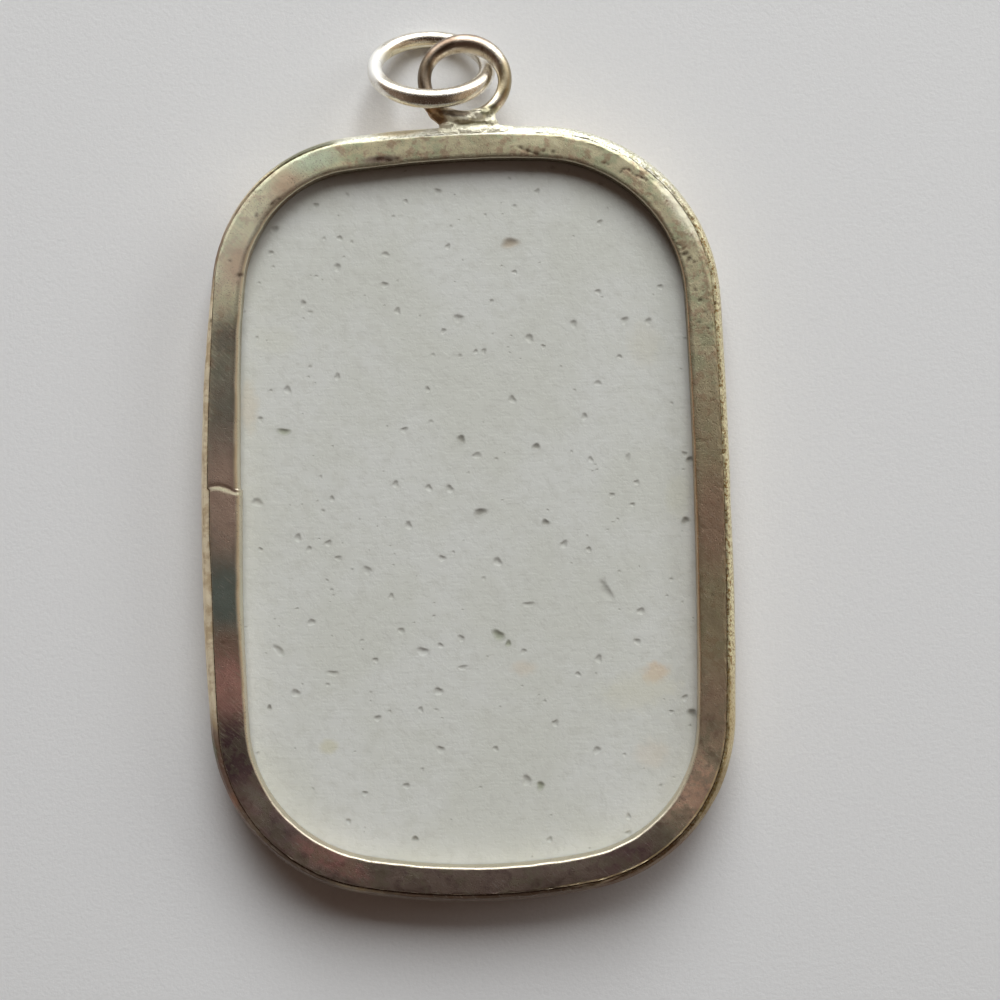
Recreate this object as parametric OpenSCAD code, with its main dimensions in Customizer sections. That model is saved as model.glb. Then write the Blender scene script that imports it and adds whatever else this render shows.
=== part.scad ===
// Pottery shard pendant lying face down: a soldered metal setting, the shard it holds and a loose jump ring.
// Millimetres, +Z up off the table, +Y toward the bail, origin under the middle of the whole pendant's box.

/* [Outline of the back ring] */
// Distance from the body's centre to the right edge
right_reach = 18.4; // [18:0.1:19]
// Height of the right edge's widest point above the centre
right_crown = -6.2; // [-8:0.1:-2]
// Radius of the right edge's bow
right_bow = 345; // [250:5:400]
// Distance from the body's centre to the top edge
top_reach = 27.1; // [26.5:0.1:27.5]
// Sideways place of the top edge's highest point
top_crown = 2.6; // [0:0.1:3]
// Radius of the top edge's bow
top_bow = 106; // [90:1:140]
// Distance from the body's centre to the left edge
left_reach = 18.6; // [18:0.1:19]
// Height of the left edge's widest point above the centre
left_crown = -1.3; // [-4:0.1:2]
// Radius of the left edge's bow
left_bow = 184; // [150:1:250]
// Distance from the body's centre to the bottom edge
bottom_reach = 27.3; // [26.5:0.1:27.8]
// Sideways place of the bottom edge's lowest point
bottom_crown = 0; // [-2:0.1:2]
// Radius of the bottom edge's bow
bottom_bow = 47; // [44:1:80]
// Radius of the top right corner
top_right_r = 12.3; // [10:0.1:13]
// Radius of the top left corner
top_left_r = 10.5; // [9:0.1:12]
// Radius of the bottom left corner
bottom_left_r = 12.2; // [10:0.1:13]
// Radius of the bottom right corner
bottom_right_r = 11.7; // [10:0.1:13]

/* [Setting] */
// Height of the pendant's body as it lies
body_t = 6; // [5.6:0.1:7]
// Width of the flat back ring
ring_w = 1.9; // [1.6:0.1:2.4]
// Thickness of the flat back ring
ring_t = 1.5; // [1.2:0.1:1.6]
// Thickness of the bezel strip round the edge
bezel_t = 0.5; // [0.4:0.05:0.6]
// How far the bezel swells outside the back ring's edge
belly = 0.9; // [0.6:0.05:1.1]
// Height of the bezel's widest line off the table
belly_z = 2.6; // [2.2:0.1:3]
// Width of the front lip that is turned in over the shard
lip_w = 1.2; // [0.8:0.1:2]
// Clearance between the shard and the metal round it
gap = 0.12; // [0.1:0.01:0.2]
// Height of the solder seam in the left side above the centre
seam_y = 1.5; // [-3:0.1:4]

/* [Bail and jump ring] */
// Diameter of the bail ring's wire
wire_d = 1; // [0.8:0.05:1.02]
// Bore of the bail ring soldered to the top edge
bail_bore = 4.8; // [4.8:0.05:5.2]
// Tilt of the bail ring, its far side low
bail_tilt = 10.5; // [8:0.5:12]
// Diameter of the loose jump ring's wire
jump_wire_d = 1.2; // [1:0.05:1.25]
// Bore of the loose jump ring
jump_bore = 6.97; // [6.95:0.01:7]
// Tilt of the jump ring, its far side on the table
jump_tilt = 47.1; // [46.8:0.1:47.4]
// Turn of the jump ring seen from above
jump_turn = -2.1; // [-2.5:0.1:-1.7]

/* [Hidden] */
$fa = 1;
$fs = 0.3;

// Places of the two rings, from the body's centre
bail_at = [0.18, 31.17, 4.85];
jump_at = [-2.264, 32.229];
// Clearance of the jump ring off the table
table_gap = 0.02;

// The edges of the outline, each an arc: centre and radius
RIGHT = [[right_reach - right_bow, right_crown], right_bow];
TOP = [[top_crown, top_reach - top_bow], top_bow];
LEFT = [[left_bow - left_reach, left_crown], left_bow];
BOTTOM = [[bottom_crown, bottom_bow - bottom_reach], bottom_bow];
EDGES = [RIGHT, TOP, LEFT, BOTTOM];
CORNER_R = [top_right_r, top_left_r, bottom_left_r, bottom_right_r];

// Centre of the corner of radius r that touches edge arcs a and b from inside
function corner_centre(a, b, r) =
    let (ra = a[1] - r)
    let (rb = b[1] - r)
    let (step = b[0] - a[0])
    let (u = step / norm(step))
    let (along = (ra * ra - rb * rb + step * step) / (2 * norm(step)))
    let (across = sqrt(ra * ra - along * along))
    a[0] + along * u + across * [-u[1], u[0]];

CORNERS = [for (i = [0:3]) [corner_centre(EDGES[i], EDGES[(i + 1) % 4], CORNER_R[i]), CORNER_R[i]]];

function heading(from, to) = atan2(to[1] - from[1], to[0] - from[0]);
function turn(from, to) = (to - from + 720) % 360;

// An arc as [centre, radius, start angle, sweep], from the joint before it to the joint after it
function arc_between(arc, start, end) = [arc[0], arc[1], start, turn(start, end)];
function edge_arc(i) =
    arc_between(EDGES[i], heading(EDGES[i][0], CORNERS[(i + 3) % 4][0]), heading(EDGES[i][0], CORNERS[i][0]));
function corner_arc(i) =
    arc_between(CORNERS[i], heading(EDGES[i][0], CORNERS[i][0]), heading(EDGES[(i + 1) % 4][0], CORNERS[i][0]));

ARCS = [for (i = [0:3]) each [edge_arc(i), corner_arc(i)]];

function arc_point(arc, part, outward) =
    let (a = arc[2] + part * arc[3])
    arc[0] + (arc[1] + outward) * [cos(a), sin(a)];

// The bezel's section: its top edge, its foot at the front, and the round turn between foot and lip
bezel_top_z = body_t - 0.25;
bezel_top_out = 0.32;
foot_z = 0.8;
foot_out = belly - 0.35;
groove_w = 0.12;
groove_z = body_t - 0.5;
worn_edge = 0.1;
foot_steps = 3;

// How far the bezel's outer face stands outside the back ring's edge at height z
function bezel_out(z) =
    z > belly_z
        ? belly - (belly - bezel_top_out) * pow((z - belly_z) / (bezel_top_z - belly_z), 2)
        : belly - (belly - foot_out) * pow((belly_z - z) / (belly_z - foot_z), 2);

function bezel_heights(from, to) = [from, (from + belly_z) / 2, belly_z, (belly_z + to) / 2, to];

ring_under_z = body_t - ring_t;
shard_top_z = ring_under_z - gap;
shard_foot_z = bezel_t + gap;

SETTING_SECTION = [
    [-ring_w, body_t],
    [-worn_edge, body_t],
    [0, body_t - worn_edge],
    [0, groove_z],
    [groove_w, groove_z],
    [groove_w, bezel_top_z],
    for (z = bezel_heights(bezel_top_z, foot_z)) [bezel_out(z), z],
    for (i = [1:foot_steps])
        let (a = 90 * i / foot_steps)
        [foot_out - foot_z * (1 - cos(a)), foot_z * (1 - sin(a))],
    [-lip_w, 0],
    [-lip_w, bezel_t],
    [foot_out - foot_z, bezel_t],
    for (z = bezel_heights(foot_z, ring_under_z)) [bezel_out(z) - bezel_t, z],
    [-ring_w, ring_under_z]
];

// The shard's rim, ground a little thinner than its core on both faces, runs on inside the core
rim_in = 2.5;
core_in = 0.9;
ground_off = 0.06;
rim_top_z = shard_top_z - ground_off;
rim_foot_z = shard_foot_z + ground_off;

SHARD_SECTION = [
    [-rim_in, rim_foot_z],
    [foot_out - foot_z, rim_foot_z],
    for (z = bezel_heights(foot_z + gap, rim_top_z)) [bezel_out(z) - bezel_t - gap, z],
    [-rim_in, rim_top_z]
];

// How far the arcs' shares of the plan reach in and out, and how far each arc is turned past its joints
share_in = 5;
share_out = 3;
overrun = 1;

// The largest pores in the shard's back: [right of centre, above centre, width]
PORES = [
    [3.1, 19.2, 1.1],
    [4.3, 12.5, 0.65],
    [-0.7, 13.9, 0.7],
    [7.5, 13.5, 0.6],
    [-13.2, 5.9, 0.75],
    [-0.4, 5.2, 0.6],
    [1.0, 0.1, 0.95],
    [-15.0, 0.7, 0.85],
    [-6.9, -4.2, 0.8],
    [9.9, -5.7, 1.2],
    [2.3, -8.8, 1.1],
    [4.3, -6.5, 0.75],
    [-13.6, -9.8, 0.9],
    [-3.1, -9.9, 0.8],
    [16.0, -14.3, 0.7],
    [4.2, -19.1, 0.8]
];
pore_depth = 0.35;

wire_r = wire_d / 2;
bail_r = bail_bore / 2 + wire_r;
jump_wire_r = jump_wire_d / 2;
jump_r = jump_bore / 2 + jump_wire_r;
jump_z = jump_r * sin(jump_tilt) + jump_wire_r + table_gap;
// The bail's foot of solder, from inside the bezel's strip to the wire
foot_base_w = 3.6;
foot_t = 1.5;
foot_y = top_reach + 0.65 * bezel_t;
foot_len = bail_at[1] - bail_r - foot_y;
// The seam's groove
seam_w = 0.2;
seam_depth = 0.12;

// How far a tilted ring of radius r reaches above its centre, seen from above
function ring_reach(r, tilt, spin, thick) = r * sqrt(1 - pow(cos(spin) * sin(tilt), 2)) + thick;

// The whole box runs from the bezel's belly at the bottom to the higher of the two rings
box_low_y = -bottom_reach - belly;
box_high_y = max(
    bail_at[1] + ring_reach(bail_r, bail_tilt, 0, wire_r),
    jump_at[1] + ring_reach(jump_r, jump_tilt, jump_turn, jump_wire_r)
);
box_low_x = -left_reach - belly;
box_high_x = right_reach + belly;
centre_shift = -[box_low_x + box_high_x, box_low_y + box_high_y] / 2;

module in_frame() {
    translate(centre_shift) children();
}

// The wedge of the plan that belongs to one arc, cut off square at its two joints
module arc_share(arc) {
    middle = arc[2] + arc[3] / 2;
    far = (arc[1] + share_out) / cos(arc[3] / 2);
    linear_extrude(4 * body_t, center = true)
        polygon([
            arc_point(arc, 0, -share_in),
            arc_point(arc, 0, share_out),
            arc[0] + far * [cos(middle), sin(middle)],
            arc_point(arc, 1, share_out),
            arc_point(arc, 1, -share_in)
        ]);
}

// A section carried round the outline, each arc turned a little past its joints and cut back to them
module swept(section) {
    for (arc = ARCS)
        intersection() {
            translate(arc[0])
                rotate_extrude(angle = arc[3] + 2 * overrun, start = arc[2] - overrun)
                    translate([arc[1], 0])
                        polygon(section);
            arc_share(arc);
        }
}

module wire_ring(r, thick) {
    rotate_extrude()
        translate([r, 0])
            circle(r = thick);
}

// Flat foot of solder whose hollow flanks run out along the bezel
module bail_foot() {
    translate([bail_at[0], foot_y, bail_at[2] - foot_t / 2])
        linear_extrude(foot_t)
            difference() {
                translate([-foot_base_w / 2, 0])
                    square([foot_base_w, foot_len]);
                for (side = [-1, 1])
                    translate([side * foot_base_w / 2, foot_len])
                        circle(r = foot_len);
            }
}

module seam_groove() {
    translate([-left_reach - 1, seam_y - seam_w / 2, body_t - seam_depth])
        cube([ring_w + 2, seam_w, 1]);
}

module setting() {
    color("silver")
        in_frame() {
            difference() {
                swept(SETTING_SECTION);
                seam_groove();
            }
            bail_foot();
            translate(bail_at)
                rotate([-bail_tilt, 0, 0])
                    wire_ring(bail_r, wire_r);
        }
}

module shard_core() {
    translate([0, 0, shard_foot_z])
        linear_extrude(shard_top_z - shard_foot_z)
            polygon([for (arc = ARCS) for (part = [0, 1 / 3, 2 / 3]) arc_point(arc, part, -core_in)]);
}

// Ball whose cap cuts a pore of the given width and depth into the shard's back
module pore(width, depth) {
    r = (width * width / 4 + depth * depth) / (2 * depth);
    translate([0, 0, r - depth])
        sphere(r = r);
}

module shard() {
    color([0.74, 0.74, 0.71])
        in_frame()
            difference() {
                union() {
                    swept(SHARD_SECTION);
                    shard_core();
                }
                for (p = PORES)
                    translate([p[0], p[1], shard_top_z])
                        pore(p[2], pore_depth * p[2]);
            }
}

module jump_ring() {
    color([0.82, 0.8, 0.74])
        in_frame()
            translate([jump_at[0], jump_at[1], jump_z])
                rotate([-jump_tilt, 0, jump_turn])
                    wire_ring(jump_r, jump_wire_r);
}

setting();
shard();
jump_ring();
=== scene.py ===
"""Pottery shard pendant, face down: its worn silver setting, the shard, the jump ring and a plain stage.

Lengths are millimetres in the making of meshes and metres in Blender.
Places on the body count from its centre.
"""

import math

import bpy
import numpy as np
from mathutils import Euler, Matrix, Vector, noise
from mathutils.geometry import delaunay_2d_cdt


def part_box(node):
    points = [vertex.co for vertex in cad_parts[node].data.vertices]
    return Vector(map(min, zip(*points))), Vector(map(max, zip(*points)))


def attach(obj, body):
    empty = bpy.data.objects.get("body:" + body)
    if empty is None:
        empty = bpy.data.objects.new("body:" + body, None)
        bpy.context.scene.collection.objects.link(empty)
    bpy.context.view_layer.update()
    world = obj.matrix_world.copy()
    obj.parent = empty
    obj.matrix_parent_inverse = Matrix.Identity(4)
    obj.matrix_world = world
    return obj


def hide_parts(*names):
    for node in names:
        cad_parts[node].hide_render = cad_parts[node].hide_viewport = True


bl_info = {
    "name": "Pottery shard pendant",
    "version": (1, 0, 0),
    "blender": (4, 5, 0),
    "location": "3D View > Sidebar > Pendant",
    "description": "Dresses a pottery shard pendant in worn silver and fired clay",
    "category": "Add Mesh",
}

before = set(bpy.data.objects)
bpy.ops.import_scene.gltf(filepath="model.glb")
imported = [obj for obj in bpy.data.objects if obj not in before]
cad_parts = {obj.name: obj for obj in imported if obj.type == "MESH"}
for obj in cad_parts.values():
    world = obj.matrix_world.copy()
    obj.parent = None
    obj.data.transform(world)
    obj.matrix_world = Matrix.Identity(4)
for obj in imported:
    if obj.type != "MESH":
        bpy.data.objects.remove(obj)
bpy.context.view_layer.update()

MM = 0.001

# The outline of the back ring's face: reach from the centre, place of the crown, radius of the bow
RIGHT_EDGE = (18.4, -6.2, 345.0)
TOP_EDGE = (27.1, 2.6, 106.0)
LEFT_EDGE = (18.6, -1.3, 184.0)
BOTTOM_EDGE = (27.3, 0.0, 47.0)
# Corner radii, from the top right round by the top left
CORNER_RADII = (12.3, 10.5, 12.2, 11.7)

BELLY = 0.9
CLEARANCE = 0.12

SETTING_LOW, SETTING_HIGH = (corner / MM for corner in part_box("setting"))
SHARD_LOW, SHARD_HIGH = (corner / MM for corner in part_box("shard"))
RING_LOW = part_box("jump_ring")[0] / MM
CENTRE = (SETTING_LOW.x + LEFT_EDGE[0] + BELLY, SETTING_LOW.y + BOTTOM_EDGE[0] + BELLY)
FACE_Z = SETTING_HIGH.z
SHARD_Z = SHARD_HIGH.z
UNDER_FACE_Z = SHARD_Z + CLEARANCE

# The wall's section, as in the solids: heights and how far it stands outside the face's edge
BELLY_Z = 2.6
LIP_Z = FACE_Z - 0.25
LIP_OUT = 0.32
FOOT_Z = 0.8
FOOT_OUT = 0.55
STRIP = 0.5
FRONT_LIP = 1.2
SOLDER_DROP = 0.36

# The two wire rings: centres from the body's centre, radii, the wire's and the ring's, and tilts
WIRE = 0.5
BAIL_AT = (0.18, 31.17, 4.85)
BAIL_RADIUS = 2.9
BAIL_TILT = 10.5
JUMP_AT = (-2.264, 32.229)
JUMP_RADIUS = 4.085
JUMP_WIRE = 0.6
JUMP_TILT = 47.1
JUMP_TURN = -2.1
JOINT_TURN = 176

# How the wall and the face change round the rim, by the angle seen from the body's centre
# The inner_shade column is painted shade: how dark the inner wall is painted round the rim, darkest at the
# top and right where the ring shades the shard
RIM_COLUMNS = ("angle", "swell", "width", "groove", "deep", "bevel", "drop", "solder", "grain", "worn",
               "inner_shade", "lip", "shift")
RIM_PLACES = (
    (0, 0.79, 2.01, 0.10, 0.22, 0.10, 0.03, 0.35, 0.7, 0.14, 0.30, 0.32, 0.0),
    (18, 0.80, 1.97, 0.09, 0.20, 0.10, 0.03, 0.40, 0.8, 0.13, 0.40, 0.32, 0.0),
    (33, 0.82, 1.93, 0.08, 0.16, 0.14, 0.06, 0.50, 0.8, 0.11, 0.70, 0.32, 0.0),
    (43, 0.85, 1.91, 0.05, 0.12, 0.24, 0.10, 0.35, 0.6, 0.10, 0.95, 0.32, 0.0),
    (50, 0.88, 1.90, 0.03, 0.07, 0.36, 0.12, 0.55, 0.8, 0.10, 1.00, 0.32, 0.0),
    (57, 0.90, 1.90, 0.02, 0.05, 0.46, 0.15, 0.72, 0.9, 0.10, 1.00, 0.32, 0.0),
    (61, 0.92, 1.90, 0.02, 0.05, 0.38, 0.14, 0.80, 1.0, 0.10, 1.00, 0.32, 0.0),
    (66, 0.93, 1.88, 0.02, 0.05, 0.24, 0.12, 0.90, 1.0, 0.10, 1.00, 0.32, 0.0),
    (75, 0.95, 1.80, 0.02, 0.05, 0.18, 0.10, 1.00, 0.9, 0.10, 1.00, 0.32, 0.0),
    (82, 0.97, 1.76, 0.02, 0.05, 0.08, 0.06, 1.00, 0.4, 0.10, 1.00, 0.32, 0.0),
    (91, 0.97, 1.80, 0.02, 0.05, 0.06, 0.06, 1.00, 0.4, 0.10, 1.00, 0.32, 0.0),
    (100, 0.93, 1.88, 0.02, 0.05, 0.08, 0.06, 0.92, 0.6, 0.10, 1.00, 0.28, 0.0),
    (107, 0.84, 1.94, 0.02, 0.05, 0.08, 0.06, 0.88, 0.5, 0.12, 0.95, 0.20, 0.0),
    (115, 0.74, 1.97, 0.05, 0.14, 0.18, 0.09, 0.30, 0.4, 0.14, 0.90, 0.18, 0.0),
    (123, 0.68, 2.01, 0.06, 0.16, 0.24, 0.11, 0.20, 0.3, 0.16, 0.80, 0.18, 0.0),
    (128, 0.66, 2.05, 0.05, 0.14, 0.22, 0.10, 0.15, 0.3, 0.18, 0.70, 0.17, 0.04),
    (136, 0.67, 2.02, 0.03, 0.08, 0.14, 0.06, 0.12, 0.3, 0.22, 0.55, 0.26, 0.14),
    (142, 0.72, 1.94, 0.06, 0.16, 0.08, 0.03, 0.10, 0.2, 0.26, 0.40, 0.34, 0.08),
    (150, 0.78, 1.98, 0.09, 0.20, 0.06, 0.02, 0.10, 0.2, 0.32, 0.25, 0.40, 0.0),
    (160, 0.79, 2.12, 0.10, 0.20, 0.06, 0.02, 0.10, 0.2, 0.38, 0.15, 0.36, -0.02),
    (174, 0.78, 2.18, 0.10, 0.22, 0.06, 0.02, 0.10, 0.2, 0.42, 0.10, 0.34, -0.05),
    (184, 0.78, 2.16, 0.10, 0.22, 0.06, 0.02, 0.10, 0.2, 0.38, 0.08, 0.34, -0.05),
    (198, 0.79, 2.00, 0.10, 0.22, 0.06, 0.02, 0.10, 0.2, 0.42, 0.06, 0.34, -0.14),
    (213, 0.83, 2.02, 0.11, 0.24, 0.06, 0.02, 0.10, 0.3, 0.28, 0.05, 0.33, -0.14),
    (231, 0.90, 2.01, 0.13, 0.28, 0.06, 0.02, 0.10, 0.4, 0.17, 0.10, 0.32, -0.04),
    (243, 0.95, 2.02, 0.14, 0.30, 0.07, 0.02, 0.10, 0.5, 0.16, 0.12, 0.32, 0.0),
    (263, 1.00, 1.94, 0.14, 0.28, 0.07, 0.02, 0.10, 0.6, 0.18, 0.12, 0.32, 0.0),
    (275, 1.00, 1.90, 0.13, 0.28, 0.07, 0.02, 0.15, 0.7, 0.19, 0.12, 0.32, 0.0),
    (290, 1.00, 1.90, 0.12, 0.26, 0.08, 0.03, 0.25, 0.9, 0.19, 0.12, 0.32, 0.0),
    (308, 0.99, 1.92, 0.12, 0.26, 0.08, 0.03, 0.30, 0.7, 0.17, 0.14, 0.32, 0.0),
    (329, 0.98, 1.95, 0.12, 0.26, 0.09, 0.03, 0.30, 0.8, 0.15, 0.15, 0.32, 0.0),
    (345, 0.88, 1.99, 0.11, 0.24, 0.10, 0.03, 0.30, 0.7, 0.16, 0.25, 0.32, 0.0),
)

# Pits and scratches in the face: right of the centre, above it, half length, half width, turn, depth, and
# how dark they are painted for dirt and shade
PITS = (
    (11.30, 24.20, 0.16, 0.09, 50, 0.030, 0.8),
    (11.52, 24.38, 0.18, 0.08, 5, 0.030, 0.8),
    (11.85, 24.32, 0.20, 0.09, -30, 0.030, 0.9),
    (12.10, 24.08, 0.14, 0.08, -60, 0.024, 0.7),
    (12.38, 23.90, 0.18, 0.10, -20, 0.030, 0.9),
    (12.75, 23.75, 0.22, 0.10, -30, 0.030, 0.8),
    (13.10, 23.62, 0.16, 0.09, 20, 0.024, 0.8),
    (10.07, 24.84, 0.16, 0.10, 0, 0.024, 0.5),
    (10.35, 24.72, 0.12, 0.08, 0, 0.018, 0.5),
    (4.16, 25.98, 0.20, 0.12, -30, 0.030, 0.8),
    (4.66, 25.76, 0.26, 0.13, -30, 0.036, 0.9),
    (5.23, 25.54, 0.30, 0.13, -20, 0.036, 0.9),
    (5.73, 25.75, 0.14, 0.12, 0, 0.024, 0.6),
    (6.44, 25.67, 0.16, 0.14, 0, 0.030, 0.6),
    (6.58, 25.31, 0.28, 0.07, -50, 0.030, 0.0),
    (15.14, 19.27, 0.28, 0.08, 40, 0.030, 0.2),
    (15.35, 18.91, 0.26, 0.08, -10, 0.030, 0.2),
    (15.64, 18.62, 0.30, 0.08, 30, 0.036, 0.2),
    (15.77, 18.26, 0.24, 0.14, 20, 0.036, 0.9),
    (16.06, 17.90, 0.22, 0.14, 60, 0.036, 0.9),
    (16.41, 17.68, 0.16, 0.10, 0, 0.024, 0.7),
    (16.46, 15.68, 0.14, 0.12, 0, 0.024, 0.7),
    (16.80, 14.96, 0.18, 0.12, 30, 0.030, 0.8),
    (17.15, 14.10, 0.14, 0.12, 0, 0.024, 0.7),
    (16.71, 13.39, 0.16, 0.10, 0, 0.024, 0.7),
    (17.35, 12.95, 0.12, 0.10, 0, 0.024, 0.6),
    (-5.99, 25.33, 0.42, 0.16, 5, 0.024, 0.9),
    (-5.30, 25.22, 0.40, 0.16, -10, 0.024, 0.9),
    (-4.70, 25.30, 0.24, 0.12, 0, 0.018, 0.7),
    (-13.60, 22.29, 0.30, 0.10, 40, 0.024, 0.9),
    (-13.17, 22.57, 0.24, 0.10, 10, 0.024, 0.9),
    (-14.80, 21.45, 0.16, 0.12, 60, 0.024, 0.6),
    (-16.03, 17.17, 0.26, 0.16, 20, 0.030, 0.9),
    (-16.75, 18.20, 0.14, 0.10, 0, 0.018, 0.5),
    (16.69, 5.89, 0.30, 0.05, 45, 0.018, 0.3),
    (16.95, 5.60, 0.26, 0.05, 45, 0.018, 0.2),
    (16.89, 4.89, 0.42, 0.05, 0, 0.018, 0.2),
    (16.81, -1.33, 0.12, 0.10, 0, 0.024, 0.0),
    (17.40, -6.10, 0.14, 0.10, 30, 0.018, 0.5),
    (-17.60, -9.10, 0.16, 0.12, 0, 0.018, 0.5),
    (-17.20, -14.74, 0.40, 0.05, 35, 0.018, 0.3),
    (-16.90, -14.30, 0.40, 0.05, 35, 0.018, 0.3),
)

# Pores of the clay: right of the centre, above it, width, and where they differ from a round grey pore's,
# height, turn in degrees and kind
PORES = (
    (3.3, 19.4, 1.30, 0.65, 0, "brown"), (4.6, 12.5, 0.65), (7.8, 13.5, 0.58), (1.3, 11.6, 0.43),
    (0.7, 11.6, 0.36), (5.6, 11.9, 0.36), (9.8, 20.8, 0.43), (5.3, 23.1, 0.43), (3.6, 17.3, 0.36),
    (9.6, 15.8, 0.43), (14.1, 16.1, 0.43), (11.5, 13.7, 0.58), (13.2, 13.6, 0.51),
    (9.5, 9.2, 0.65, 0.36), (1.9, 15.2, 0.36), (11.1, 11.1, 0.36), (-4.2, 22.5, 0.36),
    (-10.7, 22.3, 0.43), (-13.7, 20.6, 0.58), (-14.0, 18.9, 0.43), (-9.0, 19.9, 0.43),
    (-9.2, 17.8, 0.58), (-1.2, 19.2, 0.43), (-1.9, 23.2, 0.51), (-5.7, 18.7, 0.65, 0.36),
    (-5.8, 16.5, 0.51), (-4.9, 14.6, 0.51), (-11.7, 15.2, 0.51), (-0.5, 14.0, 0.87, 0.58),
    (-1.6, 13.1, 0.43), (-9.3, 9.9, 0.51), (-12.9, 9.0, 0.58), (-2.8, 8.9, 0.43), (-14.9, 6.9, 0.43),
    (-13.2, 6.0, 0.87, 0.51, 0, "green"), (-4.5, 6.0, 0.51), (-0.4, 5.3, 0.58, 0.58, 0, "dark"),
    (-15.2, 0.9, 0.94, 0.58), (-5.2, 2.1, 0.51), (-2.8, 1.8, 0.51), (-1.3, 1.7, 0.58),
    (-9.8, 1.1, 0.43), (-4.3, -0.9, 0.58), (-12.3, -1.7, 0.58), (-10.1, -2.1, 0.51),
    (-11.5, -2.5, 0.43), (-9.4, -3.2, 0.65, 0.36), (-15.0, -2.5, 0.36), (-7.3, -4.1, 0.87, 0.51, -40),
    (-1.9, -3.3, 0.51), (-5.6, -6.0, 0.43), (0.9, 0.0, 0.94, 0.58, 0, "dark"),
    (5.0, 4.7, 0.51, 0.51, 0, "dark"), (8.9, 3.7, 0.43), (5.6, -0.8, 0.51, 0.51, 0, "dark"),
    (2.1, -3.6, 0.65), (8.7, -2.8, 0.43), (6.9, -2.4, 0.58), (9.9, -5.8, 1.81, 0.72, -55),
    (4.3, -6.7, 0.87, 0.43), (3.3, 8.1, 0.58), (0.7, 4.1, 0.79, 0.43), (8.5, 6.8, 0.51),
    (11.6, 3.8, 0.72, 0.36, 90), (12.2, 2.0, 0.43), (10.4, 1.1, 0.43), (11.9, 0.4, 0.36),
    (15.7, 4.0, 0.43), (16.1, 3.6, 0.51, 0.51, 0, "dark"), (15.7, -0.8, 0.58, 0.58, 0, "dark"),
    (12.4, -7.3, 0.58), (-11.4, -7.8, 0.58), (-4.9, -8.5, 0.51), (-3.4, -10.0, 0.87, 0.65),
    (-2.1, -9.6, 0.43), (-0.6, -9.1, 0.51), (-13.8, -9.8, 1.01, 0.58, -40), (-9.9, -11.5, 0.87, 0.43),
    (-6.8, -10.6, 0.43), (-12.6, -12.9, 0.65), (-14.5, -13.9, 0.36, 0.36, 0, "dark"),
    (-0.5, -11.2, 0.79, 0.36), (-2.3, -12.9, 0.65), (-3.6, -14.2, 0.43), (-6.7, -14.8, 0.51),
    (-2.2, -17.1, 0.58), (-4.7, -19.7, 0.51), (-7.7, -20.2, 0.43), (-8.9, -22.2, 0.43),
    (-4.1, -23.5, 0.43, 0.43, 0, "dark"), (2.1, -8.9, 0.87, 0.72, -25, "green"),
    (2.8, -9.5, 0.43, 0.43, 0, "green"), (3.9, -10.1, 0.43), (7.8, -11.8, 0.43), (9.3, -10.7, 0.58),
    (12.1, -9.5, 0.51), (15.5, -13.6, 0.51), (16.0, -14.7, 0.65, 0.65, 0, "dark"), (14.5, -14.6, 0.36),
    (6.1, -15.3, 0.51), (9.1, -17.3, 0.58), (4.0, -19.4, 0.72), (5.0, -19.8, 0.58, 0.58, 0, "green"),
    (1.8, -17.1, 0.43), (5.6, -23.7, 0.43), (11.3, -22.1, 0.43), (11.3, -23.3, 0.43),
)


# How far a stain reaches up and down through the metal
PATCH_REACH = 50.0


def tone(red, green, blue):
    """A colour given as it shows on a screen, 0 to 255 each, as Blender's linear colour with alpha."""
    return tuple((part / 255) ** 2.2 for part in (red, green, blue)) + (1.0,)


class Value:
    """One number or vector in a node tree. Python's operators on it add Math nodes."""

    def __init__(self, finish, socket):
        self.finish = finish
        self.socket = socket

    def math(self, operation, first, second):
        return self.finish.add("ShaderNodeMath", {"operation": operation}, {0: first, 1: second})

    def __add__(self, other):
        return self.math("ADD", self, other)

    def __radd__(self, other):
        return self.math("ADD", other, self)

    def __sub__(self, other):
        return self.math("SUBTRACT", self, other)

    def __rsub__(self, other):
        return self.math("SUBTRACT", other, self)

    def __mul__(self, other):
        return self.math("MULTIPLY", self, other)

    def __rmul__(self, other):
        return self.math("MULTIPLY", other, self)


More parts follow.
